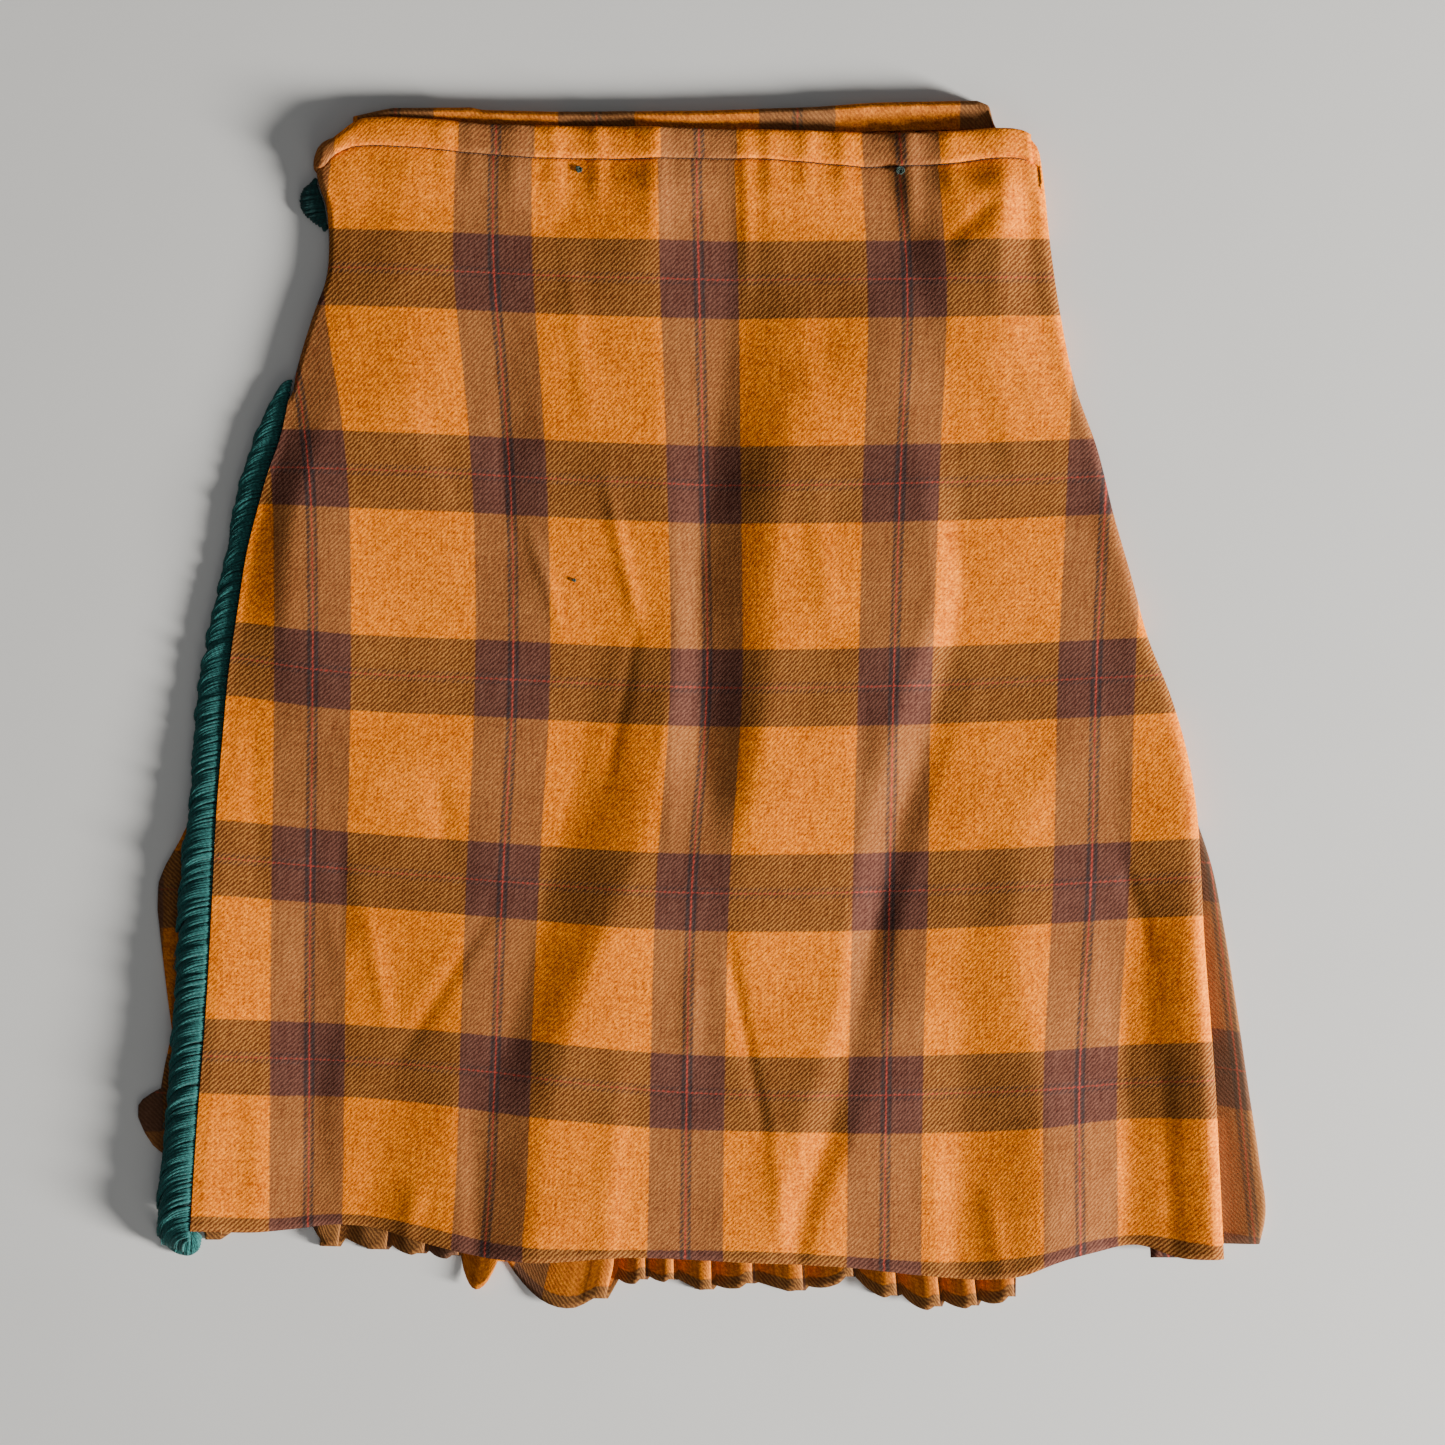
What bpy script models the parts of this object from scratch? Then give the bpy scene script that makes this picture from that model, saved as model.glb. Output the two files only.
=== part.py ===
# A pleated kilt lying face up on a flat surface, its front apron lapped over its under apron.
# +X is the right of the front as seen from above, +Y runs from the hem to the waist, +Z is up.
# The origin is on the surface, at the middle of the kilt's outline.
from math import cos, pi, radians, sin

import bmesh
import bpy
import numpy as np
from mathutils import Vector

MM = 0.001                              # the sizes and tables below are in millimetres


def table(columns, rows):
    return {name: [row[i] for row in rows] for i, name in enumerate(columns.split())}


def read(rows, key, value, column):
    # straight lines between a table's rows
    order = np.argsort(rows[key])
    return float(np.interp(value, np.array(rows[key])[order], np.array(rows[column])[order]))


# The cloth and how its layers lie on each other
WALL = 1.1                              # thickness of the cloth
GAP = 0.3                               # at seams, and between a piece and what it lies on
LAYER = 1.5                             # from one folded layer's middle to the next one's
STEP = WALL + GAP                       # from a piece's middle to the middle of what lies on it
FLOOR_Z = WALL / 2                      # middle of a layer that lies on the surface
SECOND_Z = FLOOR_Z + LAYER
THIRD_Z = FLOOR_Z + 2 * LAYER
UNDER_Z = THIRD_Z + STEP                # under apron, on the pleats
FRONT_Z = UNDER_Z + STEP                # front apron, on the under apron
BAND_RISE = 2 * STEP                    # what the two waistbands' inner legs add under it
SIDE_RISE = STEP                        # what the front apron's turned edge adds under the side
SIDE_RISE_ZONE = (166.0, 190.0)         # y over which it comes in
LEFT_DROP = 2.2                         # how far the front apron falls towards its free edge
FOLD_ARC = (pi / 3, 2 * pi / 3)         # where a fold's half circle has its two middle points

# Pleats: the free inner folds, counted from the right, with the hem's height at each
PLEATS = table("x hem", [
    (261, -289), (239, -289), (217, -290), (196, -294), (173, -318), (149, -327), (130, -328.5),
    (106, -321), (84, -316), (56, -319), (28, -317), (6, -319), (-15, -313), (-31, -314),
    (-47, -326), (-108, -318), (-134, -301), (-153, -299), (-174, -298), (-201, -296),
    (-224, -293),
])
PLEAT_COUNT = len(PLEATS["x"])
WAIST_Y, HEM_Y = 325.0, -325.0          # every pleat runs straight between these two lines
WAIST_FOLDS = (143.0, -138.0)           # x of the first and the last fold at the waist
PLEAT_DEPTH_SHARE = 0.46                # of the pitch, hidden under each pleat
PLEAT_DEPTH_MOST = 11.0
PLEAT_FLAT = 1.2                        # outer face beyond the hidden depth
PLEAT_BROW = 0.5                        # top layer beyond the fold under it
PLEAT_TOP_INSET = 3.5                   # from the waistband's top edge to the pleats' own
BAND_ZONE = (18.0, 28.0)                # the pleats come down from the band between these

# Straight seams of the strip, x at the waist line and at the hem line
RIGHT_SEAM = (149.0, 267.0)             # pleats to deep side pleat, on the surface
LEFT_SEAM = (-155.0, -243.0)            # pleats to first side pleat, on the surface
UNDER_SEAM = (-177.0, -266.0)           # first side pleat to under apron, one layer up

FRONT_LEFT = table("y x", [             # the front's left outline, down to its hem corner
    (308, -203.5), (286, -203), (245, -203), (218, -205.5), (192, -216), (176, -223),
    (164, -227.5), (139, -239), (103, -247.5), (53, -254), (5, -260), (-55, -264), (-115, -266),
    (-164, -268), (-230, -273), (-285, -276.5),
])
FRONT_RIGHT = table("y x", [            # the front's right fold
    (304, 183), (290, 185), (246, 190), (218, 194), (170, 204), (139, 215), (103, 224), (68, 234),
    (38, 242), (3, 255.5), (-27, 264), (-58, 269), (-88, 271), (-128, 273), (-168, 276),
    (-209, 279), (-249, 281), (-300, 283.5),
])
FRONT_TOP = table("u y", [              # top edge of the front's waistband, u from left to right
    (0, 308), (0.03, 317.7), (0.17, 315.6), (0.28, 313.4), (0.45, 312.8), (0.8, 311.2),
    (0.985, 311.7), (1, 304),
])
FRONT_HEM = table("u y", [
    (0, -285), (0.054, -286), (0.132, -282), (0.181, -285), (0.239, -294), (0.317, -301),
    (0.421, -298.7), (0.527, -301.4), (0.643, -304.7), (0.71, -309), (0.776, -311), (0.838, -302.5),
    (0.882, -296.5), (0.925, -293), (0.965, -299.5), (1, -300),
])
LEFT_TOP_FALL = 8.0                     # the top edge falls by this as it goes round the side
TOP_EDGE_SHARE = 0.05                   # of the apron's height, over which its top edge is inset
FULL_HEIGHT_U = 0.5                     # where the top edge is neither cornered nor rounded
LEFT_TURN = table("y angle length", [   # how far round the side the free edge turns, in degrees
    (308, 180, 14), (286, 180, 17), (245, 180, 30), (218, 180, 26), (192, 180, 11), (176, 60, 2.8),
    (164, 0, 0),
])
ARC_SHARE = 0.6                         # of the turned cloth's columns, on its arc
FLAT_EDGE_Y = 164.0                     # the free edge lies flat below this
FRONT_FOLDS = table("x1 y1 x2 y2 width height", [   # the largest soft ridges, end to end
    (-86, 90, -112, -130, 15, 2.6),
    (-58, 105, -40, -20, 17, 2.2),
    (128, 100, 108, -110, 14, 2.8),
    (64, -120, 84, -270, 15, 2.6),
    (22, -150, 44, -310, 14, 2.0),
    (-190, -60, -205, -283, 18, 2.0),
    (-120, -190, -132, -292, 16, 1.8),
    (150, -190, 164, -311, 18, 2.6),
    (262, -100, 268, -298, 13, 2.2),
    (215, 60, 232, -250, 16, 1.6),
])
FOLD_FADE = (-0.25, 0.15)               # share of a ridge's run over which it comes in
HEM_FOLD_Y = -280                       # a ridge that ends below this runs out through the hem
FOLDS_BEGIN = (40.0, 100.0)             # distances below the top edge
UNDER_BAND = (18.0, 50.0)               # distances below the top edge where the bands' rise ends
LEFT_LEDGE = 10.0                       # the front comes down beyond the under apron from here
TURN_UNDER = 35.0                       # cloth turned under at the right fold
TURN_ZONE = (50.0, 38.0)                # the front rises over it between these, from the fold
TURN_TOP_Y = 294.0                      # its top edge, below the waistband

SIDE_RIGHT = table("y x", [             # the deep side pleat's fold
    (296, 175), (246, 182), (170, 196), (103, 215), (38, 234), (-27, 257), (-58, 268), (-88, 278),
    (-118, 284), (-168, 292), (-209, 298), (-249, 304), (-280, 307), (-293, 304),
])
SIDE_RIGHT_INSET = 60.0                 # from the front's fold to the deep pleat's inner end

SIDE_LEFT = table("y x", [              # the first side pleat's fold; it shows in two places
    (314, -187), (300, -191), (245, -195), (200, -204), (165, -214), (110, -236), (50, -245),
    (-10, -252), (-45, -258), (-62, -279), (-80, -289), (-100, -296), (-128, -293.5),
    (-155, -289), (-183, -281), (-207, -292), (-219, -306), (-227, -306.5), (-237, -300),
    (-247, -288), (-264, -273), (-291, -270),
])
UNDER_TOP_Y, UNDER_HEM_Y = 293.0, -278.0
UNDER_RISE_RUN = 16.0                   # the under apron climbs onto the pleats within this
UNDER_RIGHT_INSET = 70.0                # from the front's fold to the under apron's free edge

# Waistbands: a strip down the outside, over the top edge and down the inside
BAND_DEPTH = 16.0
FRONT_BAND_INNER = 6.0
FRONT_BAND_START = 4                    # its first column round the side, of the apron's
FRONT_BAND_END = 3.0                    # from the front's right fold
FRONT_TOP_INSET = 2.2                   # from the band's top edge to the apron's own
BACK_BAND = table("x top", [            # top edge of the back's waistband
    (-188.5, 320), (-180, 321.9), (-168, 324.5), (-125, 324.8), (-80, 322.5), (0, 323), (60, 325),
    (95, 327.5), (150, 328.5), (156, 326), (163, 315),
])
BACK_BAND_SLANT = (155.0, 4.0)          # its end beyond this x leans in by this at the top

# Fringe: yarn strands out of a narrow strip along the front apron's free edge
STRIP_WIDTH, STRIP_HEIGHT = 2.4, 1.6
STRAND_PITCH = 3.6
STRIP_GAP = 0.45                        # from the cloth's outline
STRIP_DROP = 0.2                        # of the strip's middle below the cloth's
STRAND_STATIONS = [                     # share of the length, width in pitches, height
    (0.5, 0.72, 1.3), (0.88, 0.62, 1.1), (1.0, 0.3, 0.7),
]
FRINGE_ENDS = (170.0, -291.0)           # y of the strip's ends
FRINGE = table("y angle length", [      # a strand's slope below level, seen from above
    (174, 48, 9), (160, 42, 13), (139, 38, 14), (103, 32, 13), (53, 27, 15), (5, 24, 16),
    (-55, 24, 19), (-165, 26, 20), (-230, 34, 19), (-265, 46, 17), (-291, 55, 12),
])
FRINGE_REST = table("y z", [            # a strand's end, over the side pleat where that shows
    (174, 1.0), (-32, 1.0), (-48, 3.7), (-262, 3.7), (-276, 1.2), (-291, 1.0),
])
FRINGE_END_SPAN = (284.0, 264.0)        # y of the fringe's upper end, beside the turned side
FRINGE_END_Z = (2.2, 1.2)               # its strip and its strands' ends
FRINGE_END_SLOPE, FRINGE_END_LENGTH = 16.0, 13.0

OCHRE = (0.60, 0.27, 0.05)
BROWN = (0.25, 0.12, 0.06)
TEAL = (0.02, 0.13, 0.12)


def ease(t):
    t = min(max(t, 0.0), 1.0)
    return t * t * (3 - 2 * t)


def rise(value, start, end):
    # 0 before start, 1 after end
    return ease((value - start) / (end - start))


def mix(a, b, t):
    return a + (b - a) * t


def seam_x(seam, y):
    return mix(*seam, (WAIST_Y - y) / (WAIST_Y - HEM_Y))


def side_lift(y):
    # the first side pleat lies on the front apron's turned edge at the upper left
    return SIDE_RISE * rise(y, *SIDE_RISE_ZONE)


# Half circle of a fold whose layers are at z and z + 2 * radius, as (along, z), out from its centre
def fold_arc(z, radius):
    return [(radius * sin(a), z + radius - radius * cos(a)) for a in FOLD_ARC]


def cloth_colour(name, colour):
    material = bpy.data.materials.new(name)
    material.use_nodes = True
    shader = material.node_tree.nodes["Principled BSDF"]
    shader.inputs["Base Color"].default_value = (*colour, 1)
    shader.inputs["Roughness"].default_value = 0.85
    shader.inputs["Metallic"].default_value = 0.0
    return material


def add_object(name, bm, material):
    mesh = bpy.data.meshes.new(name)
    bm.to_mesh(mesh)
    bm.free()
    mesh.materials.append(material)
    mesh.shade_smooth()
    piece = bpy.data.objects.new(name, mesh)
    KILT.objects.link(piece)
    return piece


# A wall of cloth: a grid, its points placed by point(column, row), given its thickness
def cloth(name, columns, rows, point, colour):
    bm = bmesh.new()
    across, down = len(columns) - 1, len(rows) - 1
    bmesh.ops.create_grid(bm, x_segments=across, y_segments=down, size=0.5)
    for v in bm.verts:
        i, j = round((v.co.x + 0.5) * across), round((0.5 - v.co.y) * down)
        v.co = Vector(point(columns[i], rows[j])) * MM
    piece = add_object(name, bm, cloth_colour(name, colour))
    wall = piece.modifiers.new("Wall", "SOLIDIFY")
    wall.thickness = WALL * MM
    wall.offset = 0
    wall.use_even_offset = True
    wall.use_quality_normals = True
    return piece


# Height of the under apron's middle: from the side pleat's upper layer onto the pleats
def under_z(x, y):
    low = SECOND_Z + side_lift(y)
    return mix(low, UNDER_Z, ease((x - seam_x(UNDER_SEAM, y)) / UNDER_RISE_RUN))


def fold_height(x, y):
    total = 0.0
    for x1, y1, x2, y2, width, height in zip(*FRONT_FOLDS.values()):
        run = Vector((x2 - x1, y2 - y1))
        t = (Vector((x - x1, y - y1)) @ run) / run.length_squared
        aside = (x - mix(x1, x2, t)) / width
        fade = rise(t, *FOLD_FADE) * (1 if y2 < HEM_FOLD_Y else rise(1 - t, *FOLD_FADE))
        total += height * fade * np.exp(-aside * aside)
    return total


def band_share(down):
    # 1 under the waistband, 0 from some way below it
    return 1 - rise(down, *UNDER_BAND)


# Height of the front apron's middle, with its folds; down is the distance below its top edge
def front_z(x, y, down):
    ledge = 1 - ease((x - seam_x(UNDER_SEAM, y) + LEFT_LEDGE) / UNDER_RISE_RUN)
    body = FRONT_Z + (side_lift(y) - LEFT_DROP) * ledge
    fold = read(FRONT_RIGHT, "y", y, "x")
    body += LAYER * (1 - rise(fold - x, *reversed(TURN_ZONE)))
    body += fold_height(x, y) * rise(down, *FOLDS_BEGIN)
    return mix(body, FRONT_Z + BAND_RISE, band_share(down))


def turned_z(down):
    return mix(FRONT_Z, FRONT_Z + BAND_RISE - LAYER, band_share(down))


# How far round and under a column lies: the arc takes its own share of them
def turned_run(value, arc, length):
    if arc == 0:
        return length * value
    flat = max(value - ARC_SHARE, 0) / (1 - ARC_SHARE)
    return arc * min(value / ARC_SHARE, 1) + (length - arc) * flat


# A point of the front apron. column is (part, value): "left" runs round the side by a share of
# the turned cloth, "top" is the face seen from above, from 0 to 1, "fold" is an angle round the
# right fold and "under" a length turned under it. out moves the point off the cloth's middle.
def front_at(column, down, y, out=0.0):
    part, value = column
    left_x, right_x = read(FRONT_LEFT, "y", y, "x"), read(FRONT_RIGHT, "y", y, "x")
    angle = radians(read(LEFT_TURN, "y", y, "angle"))
    left_z = front_z(left_x, y, down)
    left_r = (left_z - FLOOR_Z) / 2
    start = left_x + left_r + WALL * ease(angle)
    if part == "left":
        length = max(read(LEFT_TURN, "y", y, "length"), left_r * (1 - ease(angle)))
        run = turned_run(value, angle * left_r, length)
        a = min(run / left_r, angle)
        past = run - a * left_r
        reach = left_r + out
        return (start - reach * sin(a) - past * cos(a), y,
                left_z - left_r + reach * cos(a) - past * sin(a))
    right_z = front_z(right_x, y, down)
    low = turned_z(down)
    right_r = (right_z - low) / 2
    end = right_x - WALL / 2 - right_r
    if part == "top":
        x = mix(start, end, value)
        return (x, y, front_z(x, y, down) + out)
    if part == "fold":
        return (end + (right_r + out) * sin(value), y, low + right_r + (right_r + out) * cos(value))
    return (end - value, y, low - out)


LEFT_PARTS = [("left", q) for q in (1, 0.8, 0.6, 0.5, 0.4, 0.3, 0.2, 0.1)]
TOP_PARTS = [("top", u) for u in (
    0, 0.03, 0.06, 0.1, 0.14, 0.181, 0.239, 0.28, 0.33, 0.38, 0.43, 0.48, 0.53, 0.59, 0.643, 0.7,
    0.74, 0.776, 0.81, 0.845, 0.885, 0.925, 0.96, 0.985, 1)]
RIGHT_PARTS = [("fold", a) for a in (*FOLD_ARC, pi)] + [("under", TURN_UNDER)]


def front_top(column):
    part, value = column
    if part in ("left", "top"):
        return read(FRONT_TOP, "u", value if part == "top" else 0, "y")
    return mix(read(FRONT_TOP, "u", 1, "y"), TURN_TOP_Y, value / pi if part == "fold" else 1)


def front_hem(column):
    part, value = column
    return read(FRONT_HEM, "u", {"left": 0, "top": value}.get(part, 1), "y")


# A row is the share of the way from the top edge to the hem, measured on the left edge
def front_row(y):
    top, hem = read(FRONT_TOP, "u", 0, "y"), read(FRONT_HEM, "u", 0, "y")
    return (top - y) / (top - hem)


def front_point(column, row):
    part, value = column
    top, hem = front_top(column), front_hem(column)
    inset = FRONT_TOP_INSET + (LEFT_TOP_FALL * value if part == "left" else 0)
    y = mix(top, hem, row) - inset * (1 - ease(row / TOP_EDGE_SHARE))
    if part in ("fold", "under"):
        top = read(FRONT_TOP, "u", FULL_HEIGHT_U, "y")
    return front_at(column, top - y, y)


def build_front():
    columns = LEFT_PARTS + TOP_PARTS + RIGHT_PARTS
    rows = [front_row(y) for y in (
        308, 290, 270, 245, 218, 192, 176, 164, 139, 103, 53, 5, -55, -115, -164, -230, -285)]
    return cloth("front_apron", columns, rows, front_point, OCHRE)


# The waistband's section over a top edge, as (distance below the band's top, offset out)
def band_section(outer, inner, depth_out, depth_in):
    half = (outer - inner) / 2
    radius = abs(half)
    turn = [(radius + WALL / 2 - radius * sin(a), (outer + inner) / 2 + half * cos(a))
            for a in (0, *FOLD_ARC, pi)]
    return [(depth_out, outer), *turn, (depth_in, inner)]


def build_front_band():
    section = band_section(STEP, -STEP, BAND_DEPTH, FRONT_BAND_INNER)
    columns = LEFT_PARTS[FRONT_BAND_START:] + TOP_PARTS[:-1]
    last = 1 - FRONT_BAND_END / (FRONT_RIGHT["x"][0] - FRONT_LEFT["x"][0])
    columns.append(("top", last))

    def point(column, row):
        below, out = row
        fall = LEFT_TOP_FALL * column[1] if column[0] == "left" else 0
        return front_at(column, FRONT_TOP_INSET, front_top(column) - fall - below, out)
    return cloth("front_waistband", columns, section, point, OCHRE)


def pleat_x(k, y):
    waist = mix(*WAIST_FOLDS, k / (PLEAT_COUNT - 1))
    return seam_x((waist, PLEATS["x"][k]), y)


# The pleats' section at a row, from right to left: each pleat's outer face on the surface, its
# outer fold, the cloth back to its free inner fold, and the top layer out over the outer fold
def pleat_section(y):
    points = [(seam_x(RIGHT_SEAM, y) - GAP / 2, FLOOR_Z)]
    radius = LAYER / 2
    reach = radius + WALL / 2
    for k in range(PLEAT_COUNT):
        edge = pleat_x(k, y)
        pitch = edge - pleat_x(k + 1, y) if k + 1 < PLEAT_COUNT else pleat_x(k - 1, y) - edge
        depth = min(pitch * PLEAT_DEPTH_SHARE, PLEAT_DEPTH_MOST)
        outer = edge - depth
        points.append((edge + PLEAT_FLAT, FLOOR_Z))
        lower, upper = fold_arc(FLOOR_Z, radius), fold_arc(SECOND_Z, radius)
        points += [(outer + reach, FLOOR_Z)] + [(outer + reach - r, z) for r, z in lower]
        points += [(outer + reach, SECOND_Z), (edge - reach, SECOND_Z)]
        points += [(edge - reach + r, z) for r, z in upper] + [(edge - reach, THIRD_Z)]
        points.append((outer - PLEAT_BROW, THIRD_Z))
    end = seam_x(LEFT_SEAM, y)
    return points + [(end + 3, FLOOR_Z), (end + GAP / 2, FLOOR_Z)]


def build_pleats():
    at_waist = pleat_section(WAIST_Y)
    points_each = (len(at_waist) - 3) // PLEAT_COUNT
    # a row is a distance below the waistband's top edge, a share of the way from there to the
    # hem and how far the pleats are lifted off the surface by the band's outer leg
    rows = [(PLEAT_TOP_INSET, 0, STEP), (BAND_ZONE[0], 0, STEP), (BAND_ZONE[1], 0, 0),
            (BAND_ZONE[1], 0.35, 0), (BAND_ZONE[1], 0.7, 0), (BAND_ZONE[1], 1, 0)]

    def point(column, row):
        below, share, lift = row
        k = min(max((column - 1) // points_each, 0), PLEAT_COUNT - 1)
        top = read(BACK_BAND, "x", at_waist[column][0], "top")
        y = mix(top - below, PLEATS["hem"][k], share)
        x, z = pleat_section(y)[column]
        return (x, y, z + lift)
    return cloth("pleated_back", range(len(at_waist)), rows, point, BROWN)


def build_back_band():
    inner = THIRD_Z + 2 * STEP
    section = band_section(FLOOR_Z, inner, BAND_DEPTH, BAND_DEPTH)

    def point(x, row):
        below, z = row
        slant = BACK_BAND_SLANT[1] * (1 - below / BAND_DEPTH) if x > BACK_BAND_SLANT[0] else 0
        return (x - slant, read(BACK_BAND, "x", x, "top") - below, z)
    return cloth("back_waistband", BACK_BAND["x"], section, point, OCHRE)


# A side fold between two layers: from a seam on the surface out to the fold and back above
def side_section(seam, fold, back, low, high):
    way = 1 if fold > seam else -1
    radius = (high - low) / 2
    centre = fold - way * (radius + WALL / 2)
    arc = [(centre + way * r, z) for r, z in fold_arc(low, radius)]
    return [(seam, low), (mix(seam, centre, 0.5), low), (centre, low), *arc,
            (centre, high), (back, high)]


def build_deep_pleat():
    def point(column, y):
        seam, fold = seam_x(RIGHT_SEAM, y) + GAP / 2, read(SIDE_RIGHT, "y", y, "x")
        inner = read(FRONT_RIGHT, "y", y, "x") - SIDE_RIGHT_INSET
        x, z = side_section(seam, fold, inner, FLOOR_Z, UNDER_Z)[column]
        return (x, y, z)
    return cloth("deep_side_pleat", range(7), SIDE_RIGHT["y"], point, BROWN)


def build_first_pleat():
    def point(column, y):
        lift = side_lift(y)
        seam, fold = seam_x(LEFT_SEAM, y) - GAP / 2, read(SIDE_LEFT, "y", y, "x")
        inner = seam_x(UNDER_SEAM, y) - GAP / 2
        x, z = side_section(seam, fold, inner, FLOOR_Z + lift, SECOND_Z + lift)[column]
        return (x, y, z)
    return cloth("first_side_pleat", range(7), SIDE_LEFT["y"], point, BROWN)


def build_under():
    rows = [UNDER_TOP_Y, 245, 200, 165, 110, 50, -27, -58, -128, UNDER_HEM_Y]
    climb = [0, 0.25, 0.5, 0.75, 1]

    def point(column, y):
        seam = seam_x(UNDER_SEAM, y) + GAP / 2
        free = read(FRONT_RIGHT, "y", y, "x") - UNDER_RIGHT_INSET
        crest = seam + UNDER_RISE_RUN
        x = mix(seam, crest, column) if column <= 1 else mix(crest, free, column - 1)
        return (x, y, under_z(x - GAP / 2, y))
    return cloth("under_apron", climb + [1.33, 1.67, 2], rows, point, OCHRE)


# Strands grown out of a strip's outer side: the strip is a bar along path(y) = (x, z), and every
# second face of that side is drawn out through its stations, each narrower than the last
def fringe(name, y_top, y_bottom, path, strand):
    count = round((y_top - y_bottom) / STRAND_PITCH)
    stops = [y_top - (y_top - y_bottom) * i / (2 * count + 1) for i in range(2 * count + 2)]
    bm = bmesh.new()
    bmesh.ops.create_grid(bm, x_segments=1, y_segments=len(stops) - 1, size=0.5)
    along = bm.verts.layers.int.new("along")
    outer = bm.verts.layers.int.new("outer")
    upper = bm.verts.layers.int.new("upper")
    for v in bm.verts:
        v[along] = round((0.5 - v.co.y) * (len(stops) - 1))
        v[outer] = v.co.x < 0
        v[upper] = 1
    drawn = bmesh.ops.extrude_face_region(bm, geom=bm.faces[:], use_keep_orig=True)["geom"]
    for v in drawn:
        if isinstance(v, bmesh.types.BMVert):
            v[upper] = 0
    for v in bm.verts:
        y = stops[v[along]]
        x, z = path(y)
        v.co = Vector((x - STRIP_WIDTH * v[outer], y, z + STRIP_HEIGHT * (v[upper] - 0.5))) * MM
    bmesh.ops.recalc_face_normals(bm, faces=bm.faces)
    roots = [f for f in bm.faces if all(v[outer] for v in f.verts)
             and len({v[upper] for v in f.verts}) == 2
             and min(v[along] for v in f.verts) % 2 == 1]
    for face in roots:
        first = min(v[along] for v in face.verts)
        y = (stops[first] + stops[first + 1]) / 2
        slope, length, drop = strand(y)
        x, z = path(y)
        spread = STRAND_PITCH * cos(slope)
        for reach, width, height in STRAND_STATIONS:
            face = bmesh.ops.extrude_discrete_faces(bm, faces=[face])["faces"][0]
            middle = Vector((x - STRIP_WIDTH - length * reach * cos(slope),
                             y - length * reach * sin(slope), z - drop * reach ** 1.5))
            side = Vector((-sin(slope), cos(slope), 0)) * width * spread / 2
            for v in face.verts:
                half = side if v[along] == first else -side
                v.co = (middle + half + Vector((0, 0, height * (v[upper] - 0.5)))) * MM
    return add_object(name, bm, cloth_colour(name, TEAL))


def build_fringe():
    def path(y):
        down = read(FRONT_TOP, "u", 0, "y") - y
        left = read(FRONT_LEFT, "y", y, "x")
        return left - STRIP_GAP, front_z(left, min(y, FLAT_EDGE_Y), down) - STRIP_DROP

    def strand(y):
        return (radians(read(FRINGE, "y", y, "angle")), read(FRINGE, "y", y, "length"),
                path(y)[1] - read(FRINGE_REST, "y", y, "z"))
    return fringe("fringe", *FRINGE_ENDS, path, strand)


def build_fringe_end():
    def path(y):
        return read(FRONT_LEFT, "y", y, "x") - STRIP_GAP, FRINGE_END_Z[0]

    def strand(y):
        return radians(FRINGE_END_SLOPE), FRINGE_END_LENGTH, FRINGE_END_Z[0] - FRINGE_END_Z[1]
    return fringe("fringe_end", *FRINGE_END_SPAN, path, strand)


for old in list(bpy.data.objects):
    bpy.data.objects.remove(old)
KILT = bpy.data.collections.new("kilt")
bpy.context.scene.collection.children.link(KILT)

build_pleats()
build_back_band()
build_first_pleat()
build_deep_pleat()
build_under()
build_front()
build_front_band()
build_fringe()
build_fringe_end()
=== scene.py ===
# A wool kilt laid flat and face up: the looks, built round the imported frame.
# Lengths are in millimetres and are made metres where a mesh is written.
from math import cos, pi, radians, sin

import bmesh
import bpy
import numpy as np
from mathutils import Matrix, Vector, noise


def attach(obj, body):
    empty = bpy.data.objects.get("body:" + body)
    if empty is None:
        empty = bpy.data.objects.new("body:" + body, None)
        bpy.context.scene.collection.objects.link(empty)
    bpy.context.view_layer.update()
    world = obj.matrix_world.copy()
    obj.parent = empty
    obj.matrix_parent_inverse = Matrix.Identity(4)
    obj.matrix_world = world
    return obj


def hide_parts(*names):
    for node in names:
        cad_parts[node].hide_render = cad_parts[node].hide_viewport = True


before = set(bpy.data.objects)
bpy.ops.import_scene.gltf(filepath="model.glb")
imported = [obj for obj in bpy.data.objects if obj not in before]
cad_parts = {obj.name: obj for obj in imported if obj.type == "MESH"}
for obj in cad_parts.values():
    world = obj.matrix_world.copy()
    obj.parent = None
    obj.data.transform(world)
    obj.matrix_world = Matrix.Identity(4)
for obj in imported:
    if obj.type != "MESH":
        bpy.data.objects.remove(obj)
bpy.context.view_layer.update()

mm = 0.001
shellWall = 1.0
photo = {"pixel": 0.545, "middleX": 701, "middleY": 705}  # mm a pixel, and the pixel at the origin
stack = {  # heights of the middle of each layer
    "wall": 1.1,
    "floor": 0.55,
    "layer": 1.5,
    "step": 1.4,
    "liftFrom": (166, 190),  # between these y the first side pleat comes to lie on the front apron's edge
}
stack["second"] = stack["floor"] + stack["layer"]
stack["third"] = stack["floor"] + 2 * stack["layer"]
stack["under"] = stack["third"] + stack["step"]
stack["front"] = stack["under"] + stack["step"]
seams = {  # x at the waist line and at the hem line
    "right": (149.0, 267.0),
    "left": (-155.0, -243.0),
    "under": (-177.0, -266.0),
}
waistLine, hemLine = 325.0, -325.0


def mix(a, b, t):
    return a + (b - a) * t


def unit(value):
    return np.clip(value, 0, 1)


def smooth(t):
    t = unit(t)
    return t * t * (3 - 2 * t)


def between(value, start, end):
    return smooth((value - start) / (end - start))


def fromX(px):
    return (np.asarray(px, float) - photo["middleX"]) * photo["pixel"]


def fromY(py):
    return (photo["middleY"] - np.asarray(py, float)) * photo["pixel"]


def toX(x):
    return x / photo["pixel"] + photo["middleX"]


def toY(y):
    return photo["middleY"] - y / photo["pixel"]


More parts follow.
